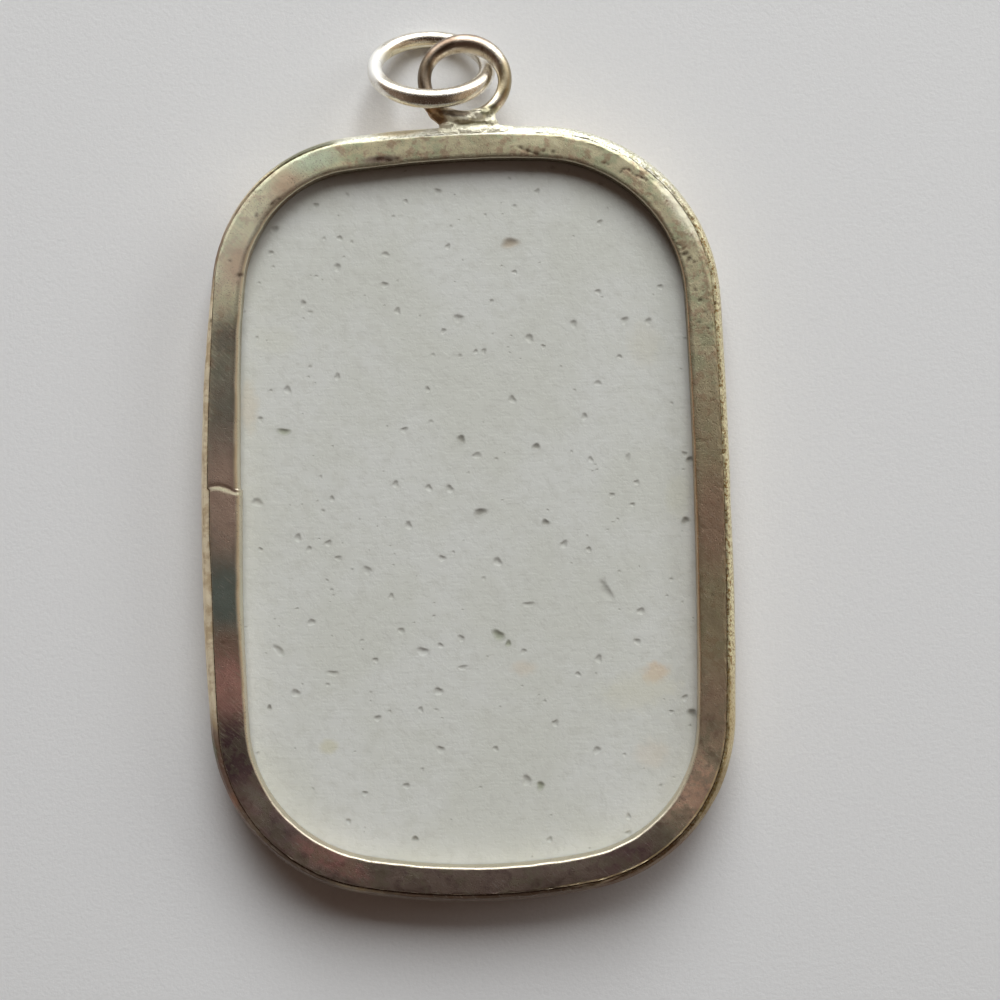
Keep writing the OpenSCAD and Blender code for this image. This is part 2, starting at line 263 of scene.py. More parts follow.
class Finish:
    """The node tree of one material or of the sky, with one method that adds any node."""

    def __init__(self, tree):
        self.tree = tree
        tree.nodes.clear()

    def add(self, kind, settings=None, sockets=None, output=0):
        """Adds a node: its settings first, then its sockets' values or links. Gives one of its outputs."""
        node = self.tree.nodes.new(kind)
        for name, value in (settings or {}).items():
            setattr(node, name, value)
        for name, value in (sockets or {}).items():
            if isinstance(value, Value):
                self.tree.links.new(value.socket, node.inputs[name])
            else:
                node.inputs[name].default_value = value
        return Value(self, node.outputs[output]) if node.outputs else None

    def vector(self, operation, first, second=(0.0, 0.0, 0.0), third=(0.0, 0.0, 0.0), output=0):
        sockets = {0: first, 1: second, 2: third}
        return self.add("ShaderNodeVectorMath", {"operation": operation}, sockets, output)

    def spot(self):
        """The place on the pendant in millimetres, from the middle of its body."""
        place = self.add("ShaderNodeTexCoord", output=3)
        per_metre = (1 / MM,) * 3
        return self.vector("MULTIPLY_ADD", place, per_metre, (-CENTRE[0], -CENTRE[1], 0.0))

    def part_along(self, place, direction):
        """How far a place or a direction reaches along another direction."""
        return self.vector("DOT_PRODUCT", place, direction, output=1)

    def noise(self, place, scale, detail=3.0, roughness=0.5):
        sockets = {"Vector": place, "Scale": scale, "Detail": detail, "Roughness": roughness}
        return self.add("ShaderNodeTexNoise", {"noise_dimensions": "3D"}, sockets)

    def stretched(self, place, turn, size, at=(0.0, 0.0)):
        """The place seen from a point, turned by an angle and measured in these sizes."""
        sockets = {"Vector": place, "Location": (*at, 0.0), "Rotation": (0.0, 0.0, turn), "Scale": size}
        return self.add("ShaderNodeMapping", {"vector_type": "TEXTURE"}, sockets)

    def rise(self, value, low, high):
        """0 below low, 1 above high and smooth between them; low may be the higher one."""
        settings = {"interpolation_type": "SMOOTHSTEP"}
        sockets = {"Value": value, "From Min": min(low, high), "From Max": max(low, high)}
        if low < high:
            return self.add("ShaderNodeMapRange", settings, sockets)
        sockets.update({"To Min": 1.0, "To Max": 0.0})
        return self.add("ShaderNodeMapRange", settings, sockets)

    def mix(self, share, first, second):
        """Goes from the first colour to the second as share goes from 0 to 1."""
        return self.add("ShaderNodeMix", {"data_type": "RGBA"}, {0: share, 6: first, 7: second}, output=2)

    def attribute(self, name):
        """A number that the mesh carries at each of its points."""
        return self.add("ShaderNodeAttribute", {"attribute_name": name}, output=2)

    def patch(self, place, at, size, turn, ragged, ragged_by, soft=0.35):
        """Mask of a stain: an ellipse with a ragged edge, 1 inside it."""
        radii = (size[0] / 2, size[1] / 2, PATCH_REACH)
        local = self.stretched(place, math.radians(turn), radii, at)
        distance = self.vector("LENGTH", local, output=1)
        return self.rise(distance + (ragged - 0.5) * ragged_by, 1 + soft, 1 - soft)

    def stained(self, colour, place, stains, ragged, ragged_by, soft, within=1.0):
        """The colour under a chart whose rows end with right, above, width, height, turn, stain, share."""
        for row in stains:
            right, above, wide, high, turn, stain, share = row[-7:]
            mask = self.patch(place, (right, above), (wide, high), turn, ragged, ragged_by, soft)
            colour = self.mix(mask * (within * share), colour, tone(*stain))
        return colour

    def bump(self, height, distance, strength):
        sockets = {"Strength": strength, "Distance": distance * MM, "Height": height}
        return self.add("ShaderNodeBump", {}, sockets)

    def surface(self, colour, roughness, normal, metallic=0.0):
        sockets = {"Base Color": colour, "Roughness": roughness, "Normal": normal, "Metallic": metallic}
        shader = self.add("ShaderNodeBsdfPrincipled", {}, sockets)
        self.add("ShaderNodeOutputMaterial", {}, {"Surface": shader})


def opaque(colour):
    return tuple(colour) + (1.0,)


def new_material(name):
    material = bpy.data.materials.new(name)
    material.use_nodes = True
    return material, Finish(material.node_tree)


def crossing(first, second, radius):
    """Centre of the corner of that radius that touches two edge arcs, each (centre, radius), from inside."""
    reach_a = first[1] - radius
    reach_b = second[1] - radius
    step = second[0] - first[0]
    length = math.hypot(*step)
    unit = step / length
    along = (reach_a**2 - reach_b**2 + length**2) / (2 * length)
    across = math.sqrt(reach_a**2 - along**2)
    return first[0] + along * unit + across * np.array([-unit[1], unit[0]])


def outline_arcs():
    """The eight arcs of the face's outer edge, each (centre, radius, start angle, sweep), anticlockwise."""
    edges = []
    facing = ((RIGHT_EDGE, 1, 0), (TOP_EDGE, 0, 1), (LEFT_EDGE, -1, 0), (BOTTOM_EDGE, 0, -1))
    for (reach, crown, bow), right, up in facing:
        centre = np.array([right * (reach - bow) + abs(up) * crown, up * (reach - bow) + abs(right) * crown])
        edges.append((centre, bow))
    corners = [crossing(edges[i], edges[(i + 1) % 4], CORNER_RADII[i]) for i in range(4)]

    def heading(start, end):
        return math.atan2(end[1] - start[1], end[0] - start[0])

    def arc(centre, radius, start, end):
        return centre, radius, start, (end - start) % (2 * math.pi)

    arcs = []
    for i in range(4):
        centre, radius = edges[i]
        corner = corners[i]
        after = edges[(i + 1) % 4][0]
        turned = heading(centre, corner)
        arcs.append(arc(centre, radius, heading(centre, corners[i - 1]), turned))
        arcs.append(arc(corner, CORNER_RADII[i], turned, heading(after, corner)))
    return arcs


ARCS = outline_arcs()
OUTLINE_LENGTH = sum(radius * sweep for _, radius, _, sweep in ARCS)


def along_outline(lengths):
    """Points of the outline and its outward directions at these lengths from the start of the right edge."""
    points = np.zeros((len(lengths), 2))
    outward = np.zeros((len(lengths), 2))
    done = 0.0
    for centre, radius, start, sweep in ARCS:
        here = (lengths >= done) & (lengths < done + radius * sweep + 1e-9)
        angles = start + (lengths[here] - done) / radius
        outward[here] = np.stack([np.cos(angles), np.sin(angles)], axis=1)
        points[here] = centre + radius * outward[here]
        done += radius * sweep
    return points, outward


def eased(share):
    return share * share * (3 - 2 * share)


def value_noise(across, up, seed, wrap):
    """Smooth seeded relief from -1 to 1 over two grids of numbers; the first repeats after wrap cells."""
    cells = 128
    table = np.random.default_rng(seed).random((wrap, cells)) * 2 - 1
    column = np.floor(across).astype(int)
    row = np.floor(up).astype(int)
    share_x = eased(across - column)
    share_y = eased(up - row)

    def level(at):
        left = table[column % wrap, at % cells]
        right = table[(column + 1) % wrap, at % cells]
        return left * (1 - share_x) + right * share_x

    return level(row) * (1 - share_y) + level(row + 1) * share_y


def wall_out(height, swell, lip=LIP_OUT):
    """How far the bezel's outer face stands outside the face's edge at a height."""
    upper = swell - (swell - lip) * ((height - BELLY_Z) / (LIP_Z - BELLY_Z)) ** 2
    lower = swell - (swell - FOOT_OUT) * ((BELLY_Z - height) / (BELLY_Z - FOOT_Z)) ** 2
    return np.where(height > BELLY_Z, upper, lower)


def on_ellipse(points, at, turn, radii):
    """Places along and across an ellipse turned by an angle, measured in its radii."""
    dx = points[..., 0] - at[0]
    dy = points[..., 1] - at[1]
    along = (dx * math.cos(turn) + dy * math.sin(turn)) / radii[0]
    across = (dy * math.cos(turn) - dx * math.sin(turn)) / radii[1]
    return along, across


def mesh_object(name, points, faces, numbers=None):
    """A smooth-shaded object from points in millimetres, with named numbers carried at its points."""
    mesh = bpy.data.meshes.new(name)
    mesh.from_pydata((np.asarray(points) * MM).tolist(), [], [list(face) for face in faces])
    for key, values in (numbers or {}).items():
        mesh.attributes.new(key, "FLOAT", "POINT").data.foreach_set("value", np.asarray(values, np.float32))
    mesh.shade_smooth()
    mesh.update()
    made = bpy.data.objects.new(name, mesh)
    bpy.context.scene.collection.objects.link(made)
    return made


def ring_faces(stations, columns):
    """Quads of a section swept right round; the stations and the section's points close on themselves."""
    here = np.arange(stations)[:, None] * columns
    ahead = ((np.arange(stations) + 1) % stations)[:, None] * columns
    this = np.arange(columns)[None, :]
    beside = (this + 1) % columns
    corners = [here + this, ahead + this, ahead + beside, here + beside]
    return np.stack(corners, axis=-1).reshape(-1, 4)


def place_piece(piece, node, material):
    piece.data.materials.append(material)
    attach(piece, "root")
    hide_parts(node)


# The seam where the back ring's ends were soldered, on the left: its place above the centre, its chamfer and
# depth, the step in the ring's line below it, and how far from it the stations are closer together
SEAM_Y = 1.95
SEAM_CHAMFER = 0.34
SEAM_DEPTH = 0.055
SEAM_STEP = 0.13
SEAM_NEAR = 0.9

# How far apart the rim's stations are, and the kinds of points that make the section's top
RIM_SPACING = 0.115
TOP_KINDS = ("face", "inner edge", "bevel")


def near_seam(points):
    return (np.abs(points[:, 1] - SEAM_Y) < SEAM_NEAR) & (points[:, 0] < 0)


def rim_lengths(spacing):
    """Lengths round the outline of the rim's stations, closer together at the seam."""
    coarse = np.arange(0, OUTLINE_LENGTH, OUTLINE_LENGTH / round(OUTLINE_LENGTH / spacing))
    points, _ = along_outline(coarse)
    near = near_seam(points)
    fine = np.concatenate([coarse[near] + spacing * part for part in (0.25, 0.5, 0.75)])
    return np.sort(np.concatenate([coarse, fine]))


def rim_column(points, name):
    """One column of the table round the rim, eased between its rows."""
    angles = np.degrees(np.arctan2(points[:, 1], points[:, 0])) % 360
    column = RIM_COLUMNS.index(name)
    known = [row[0] for row in RIM_PLACES]
    values = np.interp(angles, known, [row[column] for row in RIM_PLACES], period=360)
    width = 31
    easing = np.hanning(width)
    padded = np.concatenate([values[-width:], values, values[:width]])
    return np.convolve(padded, easing / easing.sum(), mode="same")[width:-width]


def put_wall(put, swell, lip_out):
    """The bezel's wall from the top down, the front lip, and the wall's inside from the bottom up."""
    for height in np.linspace(LIP_Z - 0.2, FOOT_Z, 8):
        put("wall", wall_out(height, swell, lip_out), height)
    for turn in np.radians((30, 60, 90)):
        put("foot", FOOT_OUT - FOOT_Z * (1 - math.cos(turn)), FOOT_Z * (1 - math.sin(turn)))
    put("foot", -FRONT_LIP + 0.03, 0.0)
    put("foot", -FRONT_LIP, 0.04)
    put("foot", -FRONT_LIP, STRIP)
    put("inside", FOOT_OUT - FOOT_Z, STRIP)
    for height in (FOOT_Z, BELLY_Z, UNDER_FACE_Z):
        put("inside", wall_out(height, swell) - STRIP, height)


def rim_sections(points):
    """The rim's section at every station: its points' places out and up, their kinds and the shift."""
    names = ("swell", "width", "groove", "deep", "bevel", "drop", "worn", "lip", "solder")
    columns = [rim_column(points, name) for name in names]
    swell, width, groove, deep, bevel, drop, worn_in, lip_out, solder = columns
    filled = np.clip((solder - 0.6) / 0.35, 0, 1)
    step = np.clip((SEAM_Y - points[:, 1]) / 0.12, 0, 1) * np.clip((points[:, 1] + 14) / 10, 0, 1)
    shift = rim_column(points, "shift") - SEAM_STEP * step * (points[:, 0] < 0)
    flat = 0 * swell
    dome = 0.02
    edge_z = FACE_Z - dome
    outs = []
    heights = []
    kinds = []

    def put(kind, out, height):
        outs.append(flat + out)
        heights.append(flat + height)
        kinds.append(kind)

    worn_from = FACE_Z - 2 * worn_in
    for height in (UNDER_FACE_Z, (UNDER_FACE_Z + worn_from) / 2, worn_from):
        put("inner", shift - width, height)
    for turn in np.radians((0, 22, 45, 68, 90)):
        out = shift - width + worn_in * (1 - math.cos(turn))
        put("inner edge", out, edge_z - worn_in * (1 - math.sin(turn)))
    inner = shift - width + worn_in
    for part in np.linspace(0, 1, 19)[1:-1]:
        put("face", inner + (shift - bevel - inner) * part, FACE_Z - dome * (2 * part - 1) ** 2)

    def sloped(out, height):
        """Where solder fills the groove, one slope runs from the face down to the wall."""
        share = (out + bevel) / (lip_out + bevel)
        return height + filled * (edge_z - SOLDER_DROP * share - height)

    for part in (0.0, 0.3, 0.6, 0.85, 1.0):
        out = shift - bevel * (1 - part)
        put("bevel", out, sloped(out, edge_z - drop * (0.75 * part + 0.25 * part**3)))
    for part in (0.25, 0.75):
        put("groove", shift + part * groove, sloped(shift + part * groove, edge_z - deep))
    lip_top = np.where(groove > 0.06, LIP_Z, edge_z - drop - 0.02)
    for part in (0.0, 0.3, 0.7, 1.0):
        rounding = 0.05 * (2 * part - 1) ** 2
        out = shift + groove + (lip_out - shift - groove) * part
        put("lip", out, sloped(out, lip_top - rounding))
    put_wall(put, swell, lip_out)
    return np.stack(outs, axis=1), np.stack(heights, axis=1), np.array(kinds), shift


def wear_rim(lengths, points, outs, heights, kinds):
    """Presses the wear into the rim: soft hammering, grain on the solder, uneven lip, edges and wall."""
    grain = rim_column(points, "grain")[:, None]
    around = lengths[:, None] + 0 * outs
    section = np.arange(outs.shape[1])[None, :] + 0 * outs

    def relief(cell, seed, step):
        wrap = round(OUTLINE_LENGTH / cell)
        return value_noise(around * wrap / OUTLINE_LENGTH, section / step + 0.37, seed, wrap)

    top = np.isin(kinds, TOP_KINDS)
    rough = np.isin(kinds, ("bevel", "lip"))
    heights[:, top] += (0.012 * relief(3.1, 11, 9.0) + 0.006 * relief(0.9, 12, 4.0))[:, top]
    heights[:, rough] += (grain * 0.045 * relief(0.28, 13, 1.3) + 0.012 * relief(0.8, 14, 2.0))[:, rough]
    lip = kinds == "lip"
    outs[:, lip] += (0.035 * relief(1.3, 15, 8.0) + grain * 0.04 * relief(0.35, 16, 3.0))[:, lip]
    heights[:, lip] += (0.03 * relief(0.9, 21, 8.0))[:, lip]
    edge = kinds == "inner edge"
    outs[:, edge] += (0.025 * relief(1.2, 17, 9.0) + 0.012 * relief(0.4, 18, 5.0))[:, edge]
    wall = kinds == "wall"
    outs[:, wall] += (0.015 * relief(2.3, 19, 4.0) + 0.008 * relief(0.7, 20, 2.0))[:, wall]


def press_pits(places, heights, kinds):
    """Sinks the pits into the face and gives how dark each point is painted for the dirt and shade in the
    pits.
    """
    pressed = np.isin(kinds, TOP_KINDS)
    dirt_and_shade = np.zeros(heights.shape)
    for right, up, long, wide, turn, depth, dark in PITS:
        along, across = on_ellipse(places, (right, up), math.radians(turn), (long, wide))
        share = np.exp(-(np.hypot(along, across) ** 2.4)) * pressed
        heights -= depth * share
        dirt_and_shade = np.maximum(dirt_and_shade, dark * share)
    return dirt_and_shade


def cut_seam(places, outs, heights, kinds):
    """The chamfered end of the back ring below the seam, and the shallow valley above it; gives where the
    chamfer is painted pale, partly clean filed metal and partly painted highlight.
    """
    cut = np.isin(kinds, TOP_KINDS)
    across = np.clip(-outs / 1.9, 0, 1)
    line = SEAM_Y + 0.16 * np.sin(math.pi * across**0.8) - 0.3 * across**3
    below = line - places[..., 1]
    long = SEAM_CHAMFER * (0.75 + 0.3 * np.sin(math.pi * across) + 0.12 * np.sin(9 * across + 1))
    chamfer = np.clip(1 - below / long, 0, 1) ** 1.2 * (below > 0)
    valley = np.exp(-((below / 0.2) ** 2)) * (below <= 0)
    depth = SEAM_DEPTH * np.maximum(chamfer, valley)
    mask = near_seam(places[:, 0])[:, None] & cut[None, :]
    heights[mask] -= depth[mask]
    # The chamfer's pale paint: partly clean filed metal, partly painted highlight
    pale = np.exp(-((below / long - 0.45) ** 2) / 0.2)
    pale *= 0.3 + 0.7 * np.sin(math.pi * np.clip(across, 0.1, 0.8))
    return pale * mask


def make_rim():
    """The setting's wall, lip and back ring as one swept section, with its wear."""
    lengths = rim_lengths(RIM_SPACING)
    points, outward = along_outline(lengths)
    outs, heights, kinds, shift = rim_sections(points)
    wear_rim(lengths, points, outs, heights, kinds)
    places = points[:, None, :] + outs[..., None] * outward[:, None, :]
    pits = press_pits(places, heights, kinds)
    seam = cut_seam(places, outs, heights, kinds)
    body = np.concatenate([places + np.array(CENTRE), np.maximum(heights, 0)[..., None]], axis=-1)
    stations, columns = outs.shape
    faces = ring_faces(stations, columns)[:, ::-1]
    spread = [rim_column(points, name)[:, None] + 0 * outs for name in ("solder", "inner_shade", "grain")]
    solder, inner_shade, grain = spread
    # Dirt and painted shade: the groove is darker where solder leaves it open, the pits keep their dirt, and
    # the inner wall is painted shade by its column
    dirt_and_shade = np.where(kinds == "groove", np.clip(1.3 - 1.3 * solder, 0, 1), pits)
    dirt_and_shade = np.where(kinds == "inner", 0.85 * inner_shade, dirt_and_shade)
    # The edge colour goes on the worn inner edge all round and, as painted light, on the inner walls where
    # they face the window and are not in painted shade
    inner = np.where(kinds == "inner edge", 1.0, np.where(kinds == "inner", 1 - inner_shade, 0.0))
    # Beside a shaded inner wall, the painted shade spreads a little over the face
    brim = np.flatnonzero(kinds == "inner edge")[-1]
    inner[:, brim] = 0.0
    for column, share in ((brim, 0.7), (brim + 1, 0.6), (brim + 2, 0.3)):
        dirt_and_shade[:, column] = np.maximum(dirt_and_shade[:, column], share * inner_shade[:, column])
    numbers = {
        "outward_mm": (outs - shift[:, None]).ravel(),
        "solder": solder.ravel(),
        "grain": grain.ravel(),
        "dirt_and_shade": (dirt_and_shade * (1 - seam)).ravel(),
        "seam": seam.ravel(),
        "inner": inner.ravel(),
    }
    return mesh_object("setting_rim", body.reshape(-1, 3), faces, numbers)


def wire_points(radius, wire, turns, sides, squeeze):
    """Points of a wire ring in its own plane; squeeze gives how much thicker the wire is at each of them."""
    angles = turns[:, None] + np.zeros(sides)[None, :]
    around = np.linspace(0, 2 * math.pi, sides, endpoint=False)[None, :] + 0 * angles
    thick = wire + squeeze(angles, around)
    far = radius + thick * np.cos(around)
    points = np.stack([far * np.cos(angles), far * np.sin(angles), thick * np.sin(around)], axis=-1)
    return points.reshape(-1, 3)


def tilted(points, tilt, turn, centre):
    turned = Euler((-math.radians(tilt), 0, math.radians(turn))).to_matrix()
    return points @ np.array(turned).T + np.array(centre)


def in_frame(x, y, z):
    return x + CENTRE[0], y + CENTRE[1], z


# How far up the solder round the foot of the bail ring reaches, its unevenness and the fusing's grain
FOOT_TOP = 28.75
SOLDER_RELIEF = 0.14
BAIL_VOXEL = 0.055

# Solder round the foot of the bail ring: right, above, height and the three radii of each lump
SOLDER_LUMPS = (
    (0.2, 27.95, 5.1, 1.9, 0.5, 0.42),
    (-1.35, 28.3, 5.0, 0.4, 0.5, 0.4),
    (1.95, 28.15, 5.25, 0.5, 0.62, 0.46),
    (0.6, 28.1, 5.4, 1.1, 0.32, 0.36),
    (-0.9, 27.75, 5.35, 0.8, 0.3, 0.4),
    (1.3, 28.66, 5.65, 0.75, 0.3, 0.3),
    (-0.5, 28.3, 5.3, 1.0, 0.34, 0.34),
    (0.7, 27.2, 5.2, 2.9, 0.72, 0.74),
    (2.4, 27.25, 5.2, 1.6, 0.6, 0.72),
    (2.15, 27.9, 5.3, 0.45, 0.4, 0.5),
)

# The flat web of solder between the bail ring and the rim, with its heights, from the body's centre
WEB = ((-2.95, 29.35), (-2.5, 28.75), (-1.7, 27.85), (-1.5, 27.1), (3.4, 27.1), (2.5, 27.75), (2.25, 28.3),
       (2.35, 29.0), (1.5, 28.6), (0.9, 28.45), (0.18, 28.35), (-0.7, 28.45), (-1.7, 28.85), (-2.5, 29.6))
WEB_Z = (4.5, 5.25)

# Points round the rings and round their wires, and round and up the balls that make the lumps of solder
BAIL_TURNS = 220
BAIL_SIDES = 32
JUMP_TURNS = 300
JUMP_SIDES = 36
BALL_SIDES = 40
BALL_LEVELS = 20


def web_piece():
    """Points and faces of the web, in millimetres."""
    sides = len(WEB)
    points = [in_frame(x, y, height) for height in WEB_Z for x, y in WEB]
    faces = [[i, (i + 1) % sides, sides + (i + 1) % sides, sides + i] for i in range(sides)]
    faces.append(list(range(sides))[::-1])
    faces.append(list(range(sides, 2 * sides)))
    return points, faces


def ball_piece():
    """Points and faces of a ball of radius 1."""
    around = np.linspace(0, 2 * math.pi, BALL_SIDES, endpoint=False)
    upward = np.radians(np.linspace(-90, 90, BALL_LEVELS + 1))[:, None]
    points = [np.cos(upward) * np.cos(around), np.cos(upward) * np.sin(around), np.sin(upward) + 0 * around]
    level = np.arange(BALL_LEVELS)[:, None] * BALL_SIDES
    here = level + np.arange(BALL_SIDES)
    beside = level + (np.arange(BALL_SIDES) + 1) % BALL_SIDES
    faces = [here, beside, beside + BALL_SIDES, here + BALL_SIDES]
    return np.stack(points, axis=-1).reshape(-1, 3), np.stack(faces, axis=-1).reshape(-1, 4)


def bail_parts():
    """Points and faces of the ring's wire, of each lump of solder and of the web, in millimetres."""
    turns = np.linspace(0, 2 * math.pi, BAIL_TURNS, endpoint=False)

    def stouter(angles, around):
        """The bail's wire is stouter at the upper right, on its inner side."""
        return 0.37 * np.clip(np.cos(angles - math.radians(80)), 0, 1) ** 1.7 * (0.5 - 0.5 * np.cos(around))

    wire = wire_points(BAIL_RADIUS, WIRE, turns, BAIL_SIDES, stouter)
    yield tilted(wire, BAIL_TILT, 0, in_frame(*BAIL_AT)), ring_faces(BAIL_TURNS, BAIL_SIDES)
    ball, quads = ball_piece()
    for x, y, z, *radii in SOLDER_LUMPS:
        yield ball * radii + np.array(in_frame(x, y, z)), quads
    yield web_piece()


def make_bail():
    """The bail ring and its solder, fused by a fine voxel remesh."""
    points = []
    faces = []
    for part_points, part_faces in bail_parts():
        faces += [[corner + len(points) for corner in face] for face in part_faces]
        points += [tuple(point) for point in part_points]
    mesh = bpy.data.meshes.new("bail_and_solder")
    mesh.from_pydata(points, [], faces)
    piece = bpy.data.objects.new("bail_and_solder", mesh)
    bpy.context.scene.collection.objects.link(piece)
    remesh = piece.modifiers.new("fuse", "REMESH")
    remesh.mode = "VOXEL"
    remesh.voxel_size = BAIL_VOXEL
    smooth = piece.modifiers.new("flow", "SMOOTH")
    smooth.iterations = 5
    smooth.factor = 0.5
    fused = bpy.data.meshes.new_from_object(piece.evaluated_get(bpy.context.evaluated_depsgraph_get()))
    piece.modifiers.clear()
    piece.data = fused
    bpy.data.meshes.remove(mesh)
    fused.name = "bail_and_solder"
    for point in fused.vertices:
        if point.co.y - CENTRE[1] < FOOT_TOP:
            uneven = noise.noise(point.co * 1.6) - 0.8 * abs(noise.noise(point.co * 2.9))
            point.co += SOLDER_RELIEF * (uneven + 0.15) * point.normal
    fused.transform(Matrix.Scale(MM, 4))
    fused.shade_smooth()
    return piece


def make_jump_ring():
    """The loose ring, with the closed butt joint of its wire at the left."""
    joint = math.radians(JOINT_TURN)
    base = np.linspace(0, 2 * math.pi, JUMP_TURNS, endpoint=False)
    extra = joint + np.linspace(-0.06, 0.06, 41)
    turns = np.unique(np.concatenate([base[np.abs(base - joint) > 0.065], extra]))

    def squeeze(angles, around):
        gap = np.exp(-(((angles - joint) / 0.008) ** 2))
        step = 0.02 * np.tanh((angles - joint) / 0.004) * np.exp(-(((angles - joint) / 0.05) ** 2))
        slimmer = -0.07 * np.exp(-(((angles - joint) / 0.5) ** 2))
        stouter = 0.13 * np.clip(-np.sin(angles), 0, 1) ** 2 * (0.6 - 0.4 * np.cos(around))
        return -0.07 * gap + step * np.cos(around - 1.0) + slimmer + stouter

    points = wire_points(JUMP_RADIUS, JUMP_WIRE, turns, JUMP_SIDES, squeeze)
    height = JUMP_RADIUS * math.sin(math.radians(JUMP_TILT)) + JUMP_WIRE + RING_LOW.z
    centre = in_frame(JUMP_AT[0], JUMP_AT[1], height)
    placed = tilted(points, JUMP_TILT, JUMP_TURN, centre)
    return mesh_object("loose_jump_ring", placed, ring_faces(len(turns), JUMP_SIDES)[:, ::-1])


# The sheet of the shard's back: its border's points, how far they stand outside the face's edge, how far
# inside it the other points end, the step of its grid, and the heights of the levels below it
BORDER_POINTS = 420
SHEET_OUT = 0.08
SHEET_END = -0.15
SHEET_STEP = 0.8
SHARD_LEVELS = (3.5, BELLY_Z, 1.7, 0.95)


def shard_outline(offset):
    """The face's outer edge moved outward, as points."""
    lengths = np.arange(BORDER_POINTS) * OUTLINE_LENGTH / BORDER_POINTS
    points, outward = along_outline(lengths)
    return points + offset * outward


# Where small pores may lie, the rings of points round a pore, in its radii, its depth as a share of its
# width, and how dark each kind is painted, for dirt and painted shade in its hollow
PORE_REACH = (16.2, 25.0)
PORE_RINGS = (0.0, 0.35, 0.62, 0.82, 0.94, 1.03, 1.12, 1.35)
SMALL_PORE_RINGS = (0.0, 0.55, 1.0, 1.25, 1.6)
PORE_DEPTH = 0.19
PORE_SHADES = {"dark": 1.0, "green": 0.6, "brown": 0.5, "grey": 0.4, "small": 0.35}


def charted_pore(right, above, wide, high=None, turn=0, kind="grey"):
    """A pore of the chart: its place, half width, half height, turn in radians and kind."""
    return right, above, wide / 2, (high or wide) / 2, math.radians(turn), kind


def all_pores(small_count):
    """The charted pores and many small seeded ones between them."""
    rng = np.random.default_rng(5)
    pores = [charted_pore(*row) for row in PORES]
    while len(pores) < len(PORES) + small_count:
        x = rng.uniform(-PORE_REACH[0], PORE_REACH[0])
        y = rng.uniform(-PORE_REACH[1], PORE_REACH[1])
        radius = 0.07 + 0.09 * rng.random() ** 2
        clear = all(math.hypot(x - p[0], y - p[1]) > 1.5 * (max(p[2], p[3]) + radius) for p in pores)
        if clear:
            pores.append((x, y, radius * rng.uniform(0.9, 1.5), radius, rng.uniform(-0.5, 0.5), "small"))
    return pores


def pore_waver(angle, phases):
    """How a pore's rim wavers round its middle."""
    return 1 + 0.13 * np.sin(2 * angle + phases[0]) + 0.10 * np.sin(3 * angle + phases[1])


def pore_distance(points, pore, phases):
    """Distance from a pore's middle, 1 on its wavering rim."""
    x, y, wide, high, turn, _ = pore
    along, across = on_ellipse(points, (x, y), turn, (wide, high))
    return np.hypot(along, across) / pore_waver(np.arctan2(across, along), phases)


def pore_points(pore, phases):
    """Rings of points for the sheet round one pore."""
    x, y, wide, high, turn, kind = pore
    small = kind == "small"
    for ring in SMALL_PORE_RINGS if small else PORE_RINGS:
        spokes = (10 if small else 20) if ring > 0 else 1
        angle = np.linspace(0, 2 * math.pi, spokes, endpoint=False) + 2 * ring
        along = ring * pore_waver(angle, phases) * wide * np.cos(angle)
        across = ring * pore_waver(angle, phases) * high * np.sin(angle)
        yield np.stack([
            x + along * math.cos(turn) - across * math.sin(turn),
            y + along * math.sin(turn) + across * math.cos(turn),
        ], axis=1)


def pored_sheet(border, pores, waves, rng):
    """The shard's back as triangles: its points, its faces and where the border's points are among them."""
    steps = np.meshgrid(np.arange(-18, 18.1, SHEET_STEP), np.arange(-27, 27.1, SHEET_STEP))
    grid = np.stack(steps, axis=-1).reshape(-1, 2)
    grid += rng.uniform(-0.2, 0.2, grid.shape)
    rings = [ring for pore, phases in zip(pores, waves) for ring in pore_points(pore, phases)]
    flat = np.concatenate([border, *rings, grid])
    inside = inside_polygon(flat, shard_outline(SHEET_END))
    inside[:BORDER_POINTS] = True
    flat = [Vector(point) for point in flat[inside]]
    triangulated = delaunay_2d_cdt(flat, [], [list(range(BORDER_POINTS))], 1, 1e-6)
    border_at = {}
    for index, origins in enumerate(triangulated[3]):
        for origin in origins:
            if origin < BORDER_POINTS:
                border_at[origin] = index
    top = np.array([list(point) for point in triangulated[0]])
    return top, triangulated[2], [border_at[i] for i in range(BORDER_POINTS)]


def press_pores(top, pores, waves):
    """How deep the pores are at each point of the sheet, how far each pore's painted darkening of dirt and
    shade covers it, and its green and brown tints.
    """
    depth, shade, green, brown = np.zeros((4, len(top)))
    for pore, phases in zip(pores, waves):
        near = np.hypot(top[:, 0] - pore[0], top[:, 1] - pore[1]) < 1.6 * max(pore[2], pore[3])
        if not near.any():
            continue
        away = pore_distance(top[near], pore, phases)
        bowl = PORE_DEPTH * 2 * min(pore[2], pore[3]) * np.clip(1 - away**2, 0, 1) ** 1.2
        depth[near] = np.maximum(depth[near], bowl)
        mask = np.clip((1.4 - away) / 0.9, 0, 1)
        shade[near] = np.maximum(shade[near], PORE_SHADES[pore[5]] * mask)
        for kind, tint in (("green", green), ("brown", brown)):
            if pore[5] == kind:
                tint[near] = np.maximum(tint[near], mask)
    return depth, {"pore": shade, "pore_green": green, "pore_brown": brown}


